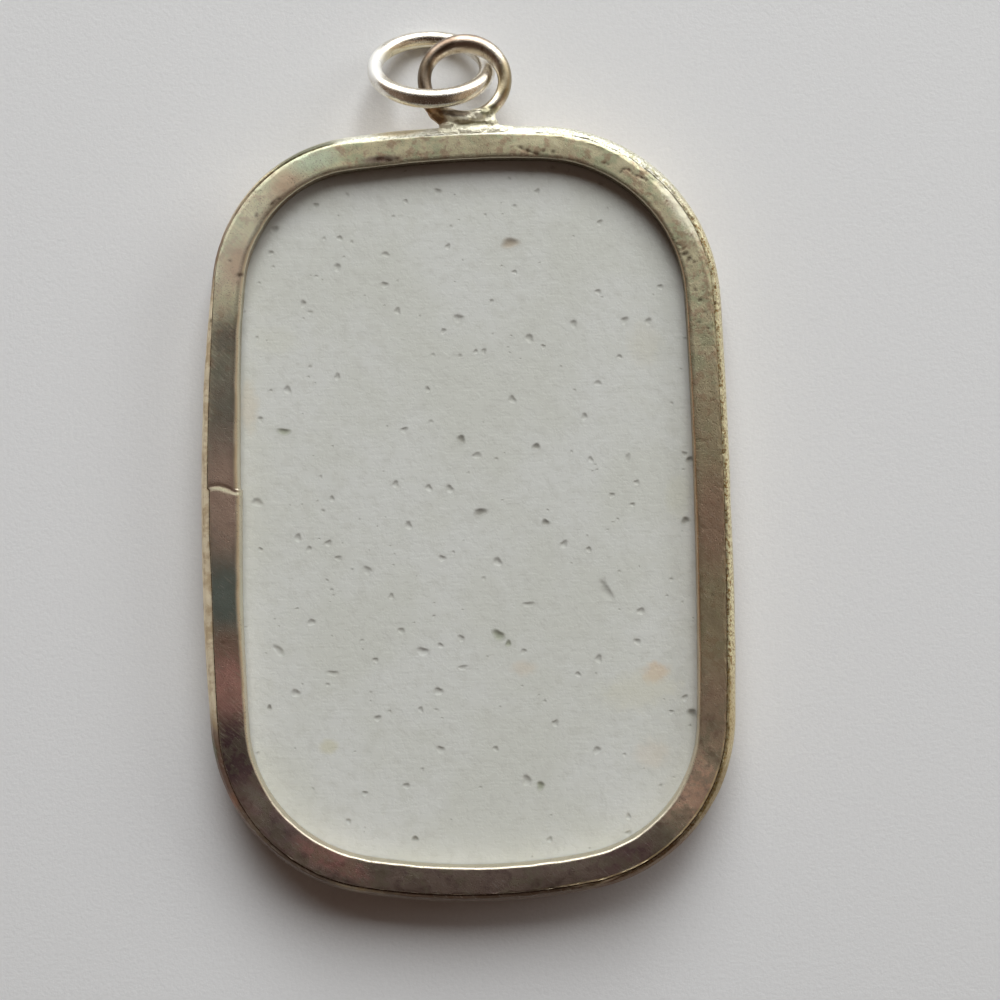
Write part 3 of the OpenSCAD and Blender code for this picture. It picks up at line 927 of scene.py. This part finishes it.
def make_shard(small_count):
    """The clay shard: its pored back as one triangulated sheet, its edge and its plain glazed front."""
    rng = np.random.default_rng(9)
    pores = all_pores(small_count)
    waves = [rng.uniform(0, 2 * math.pi, 2) for _ in pores]
    border = shard_outline(SHEET_OUT)
    top, triangles, ring = pored_sheet(border, pores, waves, rng)
    depth, tints = press_pores(top, pores, waves)
    points = [np.column_stack([top, SHARD_Z - depth])]
    faces = [list(face) for face in triangles]
    count = len(top)
    levels = [(height, wall_out(height, BELLY) - STRIP - CLEARANCE) for height in SHARD_LEVELS]
    levels.append((SHARD_LOW.z, FOOT_OUT - FOOT_Z))
    for height, out in levels:
        level = shard_outline(float(out))
        points.append(np.column_stack([level, np.full(len(level), height)]))
        below = list(range(count, count + len(level)))
        count += len(level)
        for i, here in enumerate(ring):
            ahead = (i + 1) % len(ring)
            faces.append([here, below[i], below[ahead], ring[ahead]])
        ring = below
    middle = count
    points.append(np.array([[0.0, 0.0, SHARD_LOW.z]]))
    faces.extend([ring[(i + 1) % len(ring)], ring[i], middle] for i in range(len(ring)))
    placed = np.concatenate(points) + np.array([CENTRE[0], CENTRE[1], 0.0])
    spare = np.zeros(len(placed) - len(top))
    numbers = {name: np.concatenate([tint, spare]) for name, tint in tints.items()}
    return mesh_object("clay_shard", placed, faces, numbers)


def inside_polygon(points, polygon):
    """Which points lie inside a closed polygon."""
    inside = np.zeros(len(points), bool)
    ahead = np.roll(polygon, -1, axis=0)
    for (x1, y1), (x2, y2) in zip(polygon, ahead):
        between = (points[:, 1] > y1) != (points[:, 1] > y2)
        if y1 == y2:
            continue
        crossing_x = x1 + (points[:, 1] - y1) * (x2 - x1) / (y2 - y1)
        inside ^= between & (points[:, 0] < crossing_x)
    return inside


# Stains on the silver face, with painted reflection among them: name, right, above, width, height, turn,
# colour, share
SILVER_STAINS = (
    # The first three rows are partly tarnish and partly painted reflection: the face's left side, lower end
    # and right side darkened as if mirroring a dark room
    ("darkened left side", -17.4, -1.5, 5.5, 27.0, 0, (140, 134, 126), 0.85),
    ("darkened lower end", -1.0, -27.5, 44.0, 20.0, 0, (142, 126, 122), 0.9),
    ("browned right side", 17.6, -3.0, 5.0, 26.0, 0, (170, 154, 126), 0.75),
    ("rose brown on the right side", 17.5, -0.8, 2.6, 6.4, 0, (186, 150, 134), 0.55),
    ("browned right side, low", 17.4, -14.6, 5.0, 6.0, 0, (196, 170, 150), 0.65),
    ("rose brown on the left side, round the seam", -17.2, 1.4, 3.6, 8.4, 0, (206, 180, 164), 0.85),
    ("teal grey on the left side", -17.4, -5.8, 3.6, 4.6, 0, (130, 144, 138), 0.85),
    ("brown on the left side, low", -17.3, -9.6, 3.6, 3.0, 0, (172, 146, 130), 0.85),
    ("rose on the left side, low", -17.2, -12.6, 3.6, 4.8, 0, (222, 170, 160), 0.85),
    ("dark purple at the lower left", -16.6, -17.6, 4.4, 6.4, 12, (100, 78, 84), 0.95),
    ("purple brown at the lower left corner", -13.8, -22.2, 7.5, 5.0, -45, (178, 154, 148), 0.9),
    # Painted reflection: a grey sheen
    ("grey sheen at the lower left", -15.3, -20.2, 2.4, 1.0, -45, (166, 160, 148), 0.7),
    ("grey streaks at the lower left", -13.9, -22.5, 3.4, 1.8, -50, (132, 122, 122), 0.6),
    ("pink at the lower left", -10.0, -24.6, 5.0, 1.6, -28, (208, 156, 148), 0.75),
    ("purple brown at the lower right", 11.6, -24.4, 5.0, 2.6, 30, (140, 114, 118), 0.7),
    ("rose brown at the lower right", 15.9, -20.0, 3.6, 5.0, -30, (255, 220, 196), 0.85),
    # Painted reflection: pale sheens where the face mirrors a brighter room
    ("pale sheen at the top left", -10.6, 25.3, 3.2, 1.2, 15, (244, 250, 232), 0.7),
    ("pale sheen at the upper left", -14.9, 20.0, 4.6, 12.0, -38, (255, 255, 236), 0.6),
    ("rosy blotch at the upper left", -16.0, 17.9, 2.2, 3.0, -20, (214, 176, 156), 0.5),
    ("rosy blotch at the top left", -12.6, 23.6, 2.6, 1.6, 35, (214, 176, 152), 0.5),
    ("green blotch at the top left", -10.6, 25.2, 3.4, 1.6, 15, (210, 232, 204), 0.45),
    ("brown at the inner edge, upper left", -13.4, 22.0, 3.0, 0.9, 42, (176, 148, 118), 0.5),
    ("pale end above the dark turn", -16.6, 15.3, 2.8, 2.2, 0, (240, 234, 204), 0.5),
    ("dark turn at the left", -16.9, 12.8, 2.6, 2.0, 0, (96, 82, 80), 0.45),
    # Partly tarnish, partly painted reflection: the left side greyed as if mirroring a dark room
    ("greyed left side above the seam", -17.0, 9.8, 2.8, 9.0, 0, (116, 116, 112), 0.45),
    ("purple blotch at the top", -5.9, 25.3, 2.6, 0.5, 5, (128, 104, 104), 0.7),
)

# Stains on the strip outside the face, and painted glints: name, right, above, width, height, turn, colour,
# share
STRIP_STAINS = (
    ("dark greenish edge at the top left", -11.3, 25.7, 5.0, 1.6, 24, (112, 116, 98), 0.9),
    ("purple brown edge at the upper left", -16.4, 19.8, 8.0, 2.2, 60, (122, 98, 88), 0.9),
    ("brown edge at the lower left", -17.4, -18.6, 2.6, 9.0, 24, (112, 84, 74), 0.92),
    ("olive edge at the lower left", -18.7, -16.9, 1.2, 1.8, 8, (110, 112, 84), 0.8),
    ("orange edge at the lower left", -17.3, -20.6, 1.2, 1.2, 30, (180, 130, 104), 0.6),
    ("brown edge at the left of the bottom", -12.6, -25.2, 10.0, 2.4, -35, (92, 72, 62), 0.9),
    ("dark edge along the bottom", 1.0, -27.9, 27.0, 4.0, 1, (94, 72, 60), 0.92),
    ("dark specks left of the foot", -4.6, 27.4, 3.4, 0.8, 4, (176, 150, 96), 0.6),
    ("gold at the lower right", 18.6, -16.0, 1.6, 9.0, 0, (206, 186, 140), 0.6),
    ("brown edge at the right of the bottom", 12.6, -25.4, 11.0, 3.2, 36, (112, 84, 64), 0.88),
    ("olive brown edge at the lower right corner", 17.6, -20.6, 2.4, 5.0, -24, (146, 122, 78), 0.75),
    # Painted highlights: glints on the solder along the bottom
    ("first glint at the bottom", 5.5, -27.0, 1.2, 0.14, 6, (240, 220, 194), 0.8),
    ("second glint at the bottom", 7.7, -26.75, 1.5, 0.16, 8, (240, 220, 194), 0.85),
    ("third glint at the bottom", 10.0, -26.3, 2.0, 0.2, 22, (240, 220, 194), 0.85),
)

# Stains on the clay: right, above, width, height, turn, colour, share
CLAY_STAINS = (
    (13.4, -11.8, 1.7, 1.4, 10, (214, 176, 132), 0.42),
    (12.3, -13.0, 5.2, 2.6, 10, (208, 204, 180), 0.3),
    (13.1, -17.6, 2.4, 2.0, 0, (214, 194, 168), 0.22),
    (3.9, -11.3, 1.6, 1.0, 0, (214, 190, 160), 0.25),
    (-15.7, 7.7, 1.2, 3.0, 0, (206, 188, 158), 0.3),
    (12.9, 12.0, 2.2, 3.0, 0, (202, 194, 172), 0.2),
    (-10.3, -16.8, 1.2, 1.0, 0, (196, 190, 150), 0.4),
    (15.2, 1.0, 1.6, 3.0, 0, (202, 200, 176), 0.25),
    (-13.7, 12.6, 3.0, 2.0, 0, (202, 202, 180), 0.2),
)


def silver_colour(finish, place, base):
    """Worn silver: the clean metal, its slow change of tone, warm and green mottling, and the stains and
    painted reflection of the chart.
    """
    cloud = finish.noise(place, 0.35, 4.0, 0.6)
    speckle = finish.noise(place, 7.0, 3.0, 0.65)
    mottle = finish.noise(place, 1.3, 5.0, 0.62)
    green = finish.noise(finish.vector("ADD", place, (31.0, 17.0, 5.0)), 0.7, 5.0, 0.6)
    streaks = finish.noise(finish.stretched(place, -0.75, (1.8, 0.3, 1.0)), 2.0, 4.0, 0.65)
    colour = base
    colour = finish.mix(finish.rise(cloud, 0.46, 0.64) * 0.3, colour, tone(158, 140, 112))
    colour = finish.mix(finish.rise(green, 0.48, 0.6) * 0.5, colour, tone(190, 206, 172))
    colour = finish.mix(finish.rise(mottle, 0.5, 0.62) * 0.5, colour, tone(188, 148, 124))
    up = finish.part_along(place, (0.0, 1.0, 0.0))
    low = finish.rise(up, -10.0, -18.0)
    brushed = mottle * 0.35 + streaks * 0.65
    colour = finish.stained(colour, place, SILVER_STAINS, brushed, 1.7, 0.6)
    colour = finish.mix(finish.rise(mottle, 0.44, 0.68) * low * 0.35, colour, tone(92, 74, 84))
    colour = finish.mix(finish.rise(green, 0.48, 0.58) * low * 0.4, colour, tone(156, 154, 132))
    shade = finish.rise(brushed, 0.44, 0.62)
    colour = finish.mix(shade * 0.06, colour, tone(70, 56, 50))
    return colour, cloud, speckle, mottle, streaks


def strip_colour(finish, place, colour, outward, mottle):
    """The bezel's edge outside the face: white solder at the top, golden grains at the right, tan elsewhere;
    the white and the yellow-white of the gold are partly the solder's own colour and partly painted
    highlight.

    Below the bezel's shoulder all of it fades into plain aged silver.
    """
    height = finish.part_along(place, (0.0, 0.0, 1.0))
    upper = finish.rise(height + (mottle - 0.5) * 0.8, 3.4, 4.8)
    solder = finish.attribute("solder")
    strip = finish.rise(outward + finish.rise(solder, 0.5, 0.9) * 0.10, -0.05, 0.06)
    granules = finish.noise(place, 5.0, 3.0, 0.65)
    lumps = finish.noise(place, 4.4, 4.0, 0.7)
    # Gold grains on the right: partly golden solder, partly painted highlight
    gold = finish.mix(finish.rise(lumps, 0.46, 0.6), tone(255, 250, 214), tone(172, 142, 88))
    tan = finish.mix(finish.rise(mottle, 0.42, 0.62), tone(246, 232, 202), tone(216, 194, 158))
    golden = finish.rise(solder, 0.12, 0.3)
    tan = finish.mix(golden, tan, gold)
    grain = finish.attribute("grain")
    # White solder at the top: partly pale solder, partly painted highlight where the lip faces the window
    white = finish.mix(finish.rise(granules, 0.44, 0.62) * grain, tone(250, 250, 238), tone(186, 184, 152))
    tan = finish.mix(finish.rise(solder, 0.5, 0.85), tan, white)
    worn = finish.noise(place, 0.25, 3.0, 0.5)
    aged = finish.mix(finish.rise(worn, 0.4, 0.6), tone(214, 204, 182), tone(192, 178, 154))
    colour = finish.mix(strip, colour, finish.mix(upper, aged, tan))
    beyond = finish.rise(outward, 0.02, 0.12) * (0.7 + 0.3 * upper)
    colour = finish.stained(colour, place, STRIP_STAINS, mottle, 0.9, 0.5, beyond)
    tarnished = strip * (1.0 - golden) * upper
    return colour, strip, granules * grain * upper, tarnished


def rim_material(colours):
    material, finish = new_material("worn_silver")
    place = finish.spot()
    colour, cloud, speckle, mottle, streaks = silver_colour(finish, place, opaque(colours.silver))
    outward = finish.attribute("outward_mm")
    colour, strip, granules, tarnished = strip_colour(finish, place, colour, outward, mottle)
    # The inner edge and inner walls painted pale: partly worn bright metal, partly painted highlight where
    # they face the window; tan at the right
    right = finish.patch(place, (17.0, 5.0), (7.0, 36.0), 0, mottle, 0.6, 0.5)
    worn_and_lit_edge = finish.mix(right, tone(236, 228, 206), tone(216, 182, 146))
    colour = finish.mix(finish.attribute("inner") * 0.9, colour, worn_and_lit_edge)
    specks = finish.rise(finish.noise(place, 9.0, 3.0, 0.65), 0.56, 0.66) * finish.rise(cloud, 0.36, 0.6)
    colour = finish.mix(specks * (1.0 - strip) * 0.6, colour, tone(98, 74, 62))
    pocks = finish.noise(finish.stretched(place, -0.9, (1.3, 0.8, 1.0)), 7.0, 3.0, 0.7)
    pocked = finish.patch(place, (17.0, 8.5), (3.6, 18.0), 2, mottle, 1.2, 0.5)
    pocks = finish.rise(pocks, 0.54, 0.66) * pocked * (1.0 - strip)
    colour = finish.mix(pocks * 0.7, colour, tone(92, 80, 62))
    scratches = finish.rise(streaks, 0.56, 0.7)
    colour = finish.mix(scratches * 0.2, colour, tone(236, 232, 220))
    # Painted highlight: a thin bright line along the face's outer edge at the lower right
    line = finish.rise(outward, -0.16, -0.1) * finish.rise(outward, 0.0, -0.04)
    lit = finish.patch(place, (13.0, -23.6), (17.0, 6.5), 38, mottle, 1.6, 0.5)
    colour = finish.mix(line * lit * 0.9, colour, tone(255, 240, 200))
    # The filed bevel at the upper right painted pale: partly filed metal, partly painted highlight
    filed_and_lit_bevel = finish.patch(place, (15.5, 21.8), (5.8, 1.4), -58, speckle, 2.2, 0.4) * (1.0 - strip)
    colour = finish.mix(filed_and_lit_bevel * 0.8, colour, tone(250, 246, 222))
    # The seam's chamfer painted pale: partly clean filed metal, partly painted highlight where it faces the
    # window
    seam = finish.attribute("seam")
    colour = finish.mix(seam * 0.7, colour, tone(222, 226, 192))
    # Painted dark brown: dirt in the pits and groove, and painted shade on the inner wall and the face's
    # inner margin at the top and right
    dirt_and_shade = finish.attribute("dirt_and_shade") * finish.rise(speckle, 0.2, 0.5)
    colour = finish.mix(dirt_and_shade, colour, tone(76, 54, 42))
    sheen = finish.patch(place, (-13.5, 21.0), (16.0, 13.0), 40, mottle, 1.2, 0.8)
    roughness = 0.44 + 0.14 * cloud + 0.12 * speckle + 0.1 * sheen - 0.16 * finish.attribute("inner")
    filed = finish.rise(outward, -0.6, -0.2) * finish.rise(finish.attribute("solder"), 0.15, 0.4)
    height = mottle * 1.1 + speckle * 0.5 + streaks * 0.5 + granules * 1.2 * filed
    height = height - specks * 0.5 - pocks * 0.5
    metallic = 1.0 - 0.45 * tarnished - 0.3 * seam - 0.5 * filed_and_lit_bevel
    finish.surface(colour, roughness, finish.bump(height, 0.022, 0.85), metallic)
    return material


# Stains on the bail ring and its foot, and a painted shadow under the jump ring: name, right, above, width,
# height, turn, colour, share
FOOT_STAINS = (
    ("brown in the left flank", -1.9, 28.5, 2.0, 1.1, -40, (160, 118, 74), 0.85),
    ("tarnish along the top strand", 0.2, 34.2, 4.6, 1.5, 0, (204, 182, 162), 0.7),
    # Painted shadow: the dark gap under the jump ring
    ("dark line under the jump ring", -0.4, 28.55, 2.4, 0.5, -5, (84, 58, 38), 0.8),
    ("olive on the right of the strand", 1.9, 28.8, 1.3, 0.7, 20, (134, 132, 96), 0.7),
    ("brown over the middle", 0.0, 27.95, 1.6, 0.35, 0, (120, 96, 74), 0.7),
    ("tarnish on the left strand", -2.75, 31.4, 1.5, 4.4, 0, (96, 82, 66), 0.9),
    ("tarnish on the upper left strand", -1.6, 33.6, 2.6, 1.1, 30, (120, 98, 80), 0.8),
    ("dull right strand", 3.1, 31.0, 1.2, 3.2, 0, (160, 146, 112), 0.8),
    ("dark specks on the solder", 1.0, 27.85, 3.0, 0.3, 4, (130, 124, 84), 0.6),
)
# The filed joint of the jump ring, painted white: partly filed metal, partly painted highlight
JOINT_AT = (-6.35, 32.6)


def wire_material(name, clean, dull, foot=False):
    """Polished wire with some tarnish; the foot is rougher, paler solder with stains and a painted shadow;
    the loose ring's joint is painted white, partly as a highlight.
    """
    material, finish = new_material(name)
    place = finish.spot()
    cloud = finish.noise(place, 1.1, 4.0, 0.6)
    speckle = finish.noise(place, 9.0, 3.0, 0.6)
    colour = finish.mix(finish.rise(cloud * 0.6 + speckle * 0.4, 0.42, 0.66), clean, dull)
    roughness = 0.19 + 0.14 * speckle
    if foot:
        roughness = roughness + 0.04
        up = finish.part_along(place, (0.0, 1.0, 0.0))
        solder = finish.rise(up + (cloud - 0.5) * 0.8, FOOT_TOP + 0.2, FOOT_TOP - 0.2)
        colour = finish.mix(solder, colour, tone(255, 251, 226))
        colour = finish.stained(colour, place, FOOT_STAINS, cloud, 1.2, 0.3)
        roughness = roughness + solder * 0.08
        metallic = 1.0 - 0.4 * solder
        normal = finish.bump(cloud * (0.3 + 3.0 * solder) + speckle * (0.6 + 1.6 * solder), 0.035, 0.8)
    else:
        normal = finish.bump(speckle * 0.6 + cloud * 0.4, 0.02, 0.5)
        # The joint painted white: partly filed metal, partly painted highlight
        joint = finish.patch(place, JOINT_AT, (2.2, 2.9), 0, cloud, 0.5, 0.4)
        colour = finish.mix(joint * 0.9, colour, tone(253, 252, 248))
        warm = finish.patch(place, (-3.6, 33.7), (4.2, 1.4), 10, cloud, 0.6, 0.4)
        colour = finish.mix(warm * 0.55, colour, tone(238, 222, 160))
        metallic = 1.0 - 0.6 * joint
        roughness = roughness + 0.2 * joint
    finish.surface(colour, roughness, normal, metallic)
    return material


def clay_material(colours):
    material, finish = new_material("fired_clay")
    place = finish.spot()
    cloud = finish.noise(place, 0.16, 4.0, 0.55)
    grit = finish.noise(place, 6.0, 4.0, 0.65)
    fine = finish.noise(place, 22.0, 2.0, 0.5)
    ragged = finish.noise(place, 1.1, 4.0, 0.65)
    colour = finish.mix(finish.rise(cloud, 0.35, 0.65) * 0.5, opaque(colours.clay), tone(200, 201, 190))
    colour = finish.mix(finish.rise(grit, 0.45, 0.72) * 0.25, colour, tone(214, 214, 206))
    colour = finish.mix(finish.rise(ragged, 0.48, 0.66) * 0.35, colour, tone(194, 194, 186))
    colour = finish.stained(colour, place, CLAY_STAINS, ragged, 1.6, 0.5)
    # Pores painted darker: dirt in them and painted shade in their hollows
    pore = finish.attribute("pore")
    colour = finish.mix(pore * 0.68, colour, tone(112, 108, 98))
    colour = finish.mix(finish.attribute("pore_green") * 0.5, colour, tone(134, 140, 112))
    colour = finish.mix(finish.attribute("pore_brown") * 0.5, colour, tone(150, 126, 96))
    lines = finish.noise(finish.stretched(place, 0.0, (5.0, 0.2, 1.0)), 1.2, 2.0, 0.5)
    dimples = finish.rise(finish.noise(place, 1.7, 4.0, 0.6), 0.62, 0.42)
    normal = finish.bump(dimples * 0.9 + lines * 0.7 + grit * 0.4 + fine * 0.2, 0.022, 0.5)
    finish.surface(colour, 0.72 + 0.16 * grit, normal)
    return material


def paper_material(colours):
    material, finish = new_material("paper_floor")
    place = finish.spot()
    fibre = finish.noise(place, 1.6, 5.0, 0.6)
    colour = finish.mix(fibre, opaque(colours.paper), opaque(part * 0.965 for part in colours.paper))
    grain = finish.noise(place, 3.6, 3.0, 0.65)
    colour = finish.mix(finish.rise(grain, 0.35, 0.65) * 0.04, colour, tone(150, 144, 150))
    normal = finish.bump(grain * 0.8 + fibre * 0.4, 0.07, 0.5)
    finish.surface(colour, 0.9, normal)
    return material


def colour_property(name, description, *screen_tone):
    return bpy.props.FloatVectorProperty(
        name=name,
        description=description,
        default=tone(*screen_tone)[:3],
        subtype="COLOR",
        min=0.0,
        max=1.0,
    )


class PendantColours(bpy.types.PropertyGroup):
    """Colours a user would change."""

    silver: colour_property("Silver", "Clean silver of the setting's face", 235, 230, 197)
    clay: colour_property("Clay", "Fired clay of the shard's back", 211, 212, 207)
    paper: colour_property("Paper", "The floor", 228, 228, 228)


class PendantSizes(bpy.types.PropertyGroup):
    """Sizes a user would change."""

    small_pores: bpy.props.IntProperty(
        name="Small pores",
        description="How many small pores are scattered between the charted ones",
        default=170,
        min=0,
        max=600,
    )
    window_strength: bpy.props.FloatProperty(
        name="Window",
        description="Strength of the soft window light, in watts",
        default=7.9,
        min=0.0,
    )
    fill_strength: bpy.props.FloatProperty(
        name="Fill",
        description="Strength of the fill light from the upper right, in watts",
        default=1.5,
        min=0.0,
    )


class PENDANT_OT_rim(bpy.types.Operator):
    """Make the setting's rim: bezel wall, front lip and flat back ring"""

    bl_idname = "pendant.rim"
    bl_label = "Setting rim"

    def execute(self, context):
        rim = make_rim()
        place_piece(rim, "setting", rim_material(context.scene.pendant_colours))
        return {"FINISHED"}


class PENDANT_OT_bail(bpy.types.Operator):
    """Make the bail ring with its foot of solder"""

    bl_idname = "pendant.bail"
    bl_label = "Bail ring and solder"

    def execute(self, context):
        bail = make_bail()
        material = wire_material("bail_silver", tone(238, 230, 214), tone(176, 158, 136), foot=True)
        place_piece(bail, "setting", material)
        return {"FINISHED"}


class PENDANT_OT_shard(bpy.types.Operator):
    """Make the pored clay shard"""

    bl_idname = "pendant.shard"
    bl_label = "Clay shard"

    def execute(self, context):
        shard = make_shard(context.scene.pendant_sizes.small_pores)
        place_piece(shard, "shard", clay_material(context.scene.pendant_colours))
        return {"FINISHED"}


class PENDANT_OT_jump_ring(bpy.types.Operator):
    """Make the loose jump ring"""

    bl_idname = "pendant.jump_ring"
    bl_label = "Jump ring"

    def execute(self, context):
        ring = make_jump_ring()
        material = wire_material("ring_silver", tone(248, 244, 234), tone(212, 202, 184))
        place_piece(ring, "jump_ring", material)
        return {"FINISHED"}


# The floor's half width
FLOOR_REACH = 1500.0

# The camera looks straight down; its place from the body's centre, its turn and its lens
CAMERA_AT = (2.333, 0.863, 156.0)
CAMERA_TURN = -0.745
LENS = 75.6
SENSOR = 36.0


def make_camera():
    data = bpy.data.cameras.new("camera")
    data.lens = LENS
    data.sensor_width = SENSOR
    data.clip_start = 0.005
    data.clip_end = 20.0
    camera = bpy.data.objects.new("camera", data)
    camera.location = Vector(in_frame(*CAMERA_AT)) * MM
    camera.rotation_euler = (0, 0, math.radians(CAMERA_TURN))
    bpy.context.scene.collection.objects.link(camera)
    bpy.context.scene.camera = camera


def make_light(name, azimuth, elevation, distance, size, strength, colour):
    """A soft rectangular light that faces the pendant and isn't mirrored; azimuth runs from +Y toward +X."""
    data = bpy.data.lights.new(name, "AREA")
    data.shape = "RECTANGLE"
    data.size, data.size_y = size
    data.energy = strength
    data.color = colour
    light = bpy.data.objects.new(name, data)
    turn, rise = math.radians(azimuth), math.radians(elevation)
    toward = Vector((math.sin(turn) * math.cos(rise), math.cos(turn) * math.cos(rise), math.sin(rise)))
    light.location = toward * distance
    light.rotation_euler = toward.to_track_quat("Z", "Y").to_euler()
    light.visible_glossy = False
    bpy.context.scene.collection.objects.link(light)


# What the silver mirrors: a dark brown room, tan glows on both sides and a bright window low on the +Y side
ROOM_SHINE = (0.055, 0.037, 0.028, 1.0)
# Each side's direction, where its light sets in and is full, and its colour
SHINES = (
    ((-1.0, 0.0, 0.0), 0.4, 0.85, (0.18, 0.13, 0.10, 1.0)),
    ((1.0, 0.0, 0.0), 0.5, 0.85, (0.45, 0.35, 0.25, 1.0)),
    ((0.06, 0.99, 0.0), 0.44, 0.80, (3.3, 3.3, 3.25, 1.0)),
)
# The dim light that reaches everything else
AMBIENT = (0.080, 0.054, 0.043, 1.0)


def make_sky():
    """The room round the pendant, mapped for mirrored rays and dim and warm for the others."""
    world = bpy.data.worlds.new("room")
    world.use_nodes = True
    bpy.context.scene.world = world
    finish = Finish(world.node_tree)
    direction = finish.add("ShaderNodeTexCoord", output=0)
    mirrored = ROOM_SHINE
    for side, low, high, shine in SHINES:
        mirrored = finish.mix(finish.rise(finish.part_along(direction, side), low, high), mirrored, shine)
    is_glossy = finish.add("ShaderNodeLightPath", output=3)
    colour = finish.mix(is_glossy, AMBIENT, mirrored)
    background = finish.add("ShaderNodeBackground", {}, {"Color": colour, "Strength": 1.0})
    finish.add("ShaderNodeOutputWorld", {}, {"Surface": background})


class PENDANT_OT_stage(bpy.types.Operator):
    """Make the pale floor, the soft studio light and the camera"""

    bl_idname = "pendant.stage"
    bl_label = "Stage"

    def execute(self, context):
        sizes = context.scene.pendant_sizes
        corners = [(x * FLOOR_REACH, y * FLOOR_REACH, 0.0) for x, y in ((-1, -1), (1, -1), (1, 1), (-1, 1))]
        floor = mesh_object("floor", corners, [(0, 1, 2, 3)])
        floor.data.materials.append(paper_material(context.scene.pendant_colours))
        make_light("window", 4, 43.5, 0.9, (0.55, 0.66), sizes.window_strength, (0.965, 1.0, 1.01))
        make_light("fill", 62, 34, 0.9, (0.5, 0.4), sizes.fill_strength, (0.98, 1.0, 1.0))
        make_sky()
        make_camera()
        context.scene.view_settings.view_transform = "Standard"
        return {"FINISHED"}


class PENDANT_PT_sidebar(bpy.types.Panel):
    """Lists the pieces of the pendant"""

    bl_label = "Pendant"
    bl_space_type = "VIEW_3D"
    bl_region_type = "UI"
    bl_category = "Pendant"

    def draw(self, context):
        column = self.layout.column()
        for operator in OPERATORS:
            column.operator(operator.bl_idname)
        for group in (context.scene.pendant_colours, context.scene.pendant_sizes):
            for name in group.__annotations__:
                column.prop(group, name)


OPERATORS = (PENDANT_OT_stage, PENDANT_OT_rim, PENDANT_OT_bail, PENDANT_OT_shard, PENDANT_OT_jump_ring)
CLASSES = (PendantColours, PendantSizes) + OPERATORS + (PENDANT_PT_sidebar,)


def register():
    for entry in CLASSES:
        bpy.utils.register_class(entry)
    bpy.types.Scene.pendant_colours = bpy.props.PointerProperty(type=PendantColours)
    bpy.types.Scene.pendant_sizes = bpy.props.PointerProperty(type=PendantSizes)


def unregister():
    del bpy.types.Scene.pendant_sizes
    del bpy.types.Scene.pendant_colours
    for entry in reversed(CLASSES):
        bpy.utils.unregister_class(entry)


def main():
    register()
    bpy.ops.pendant.stage()
    bpy.ops.pendant.rim()
    bpy.ops.pendant.bail()
    bpy.ops.pendant.shard()
    bpy.ops.pendant.jump_ring()


if __name__ == "__main__":
    main()
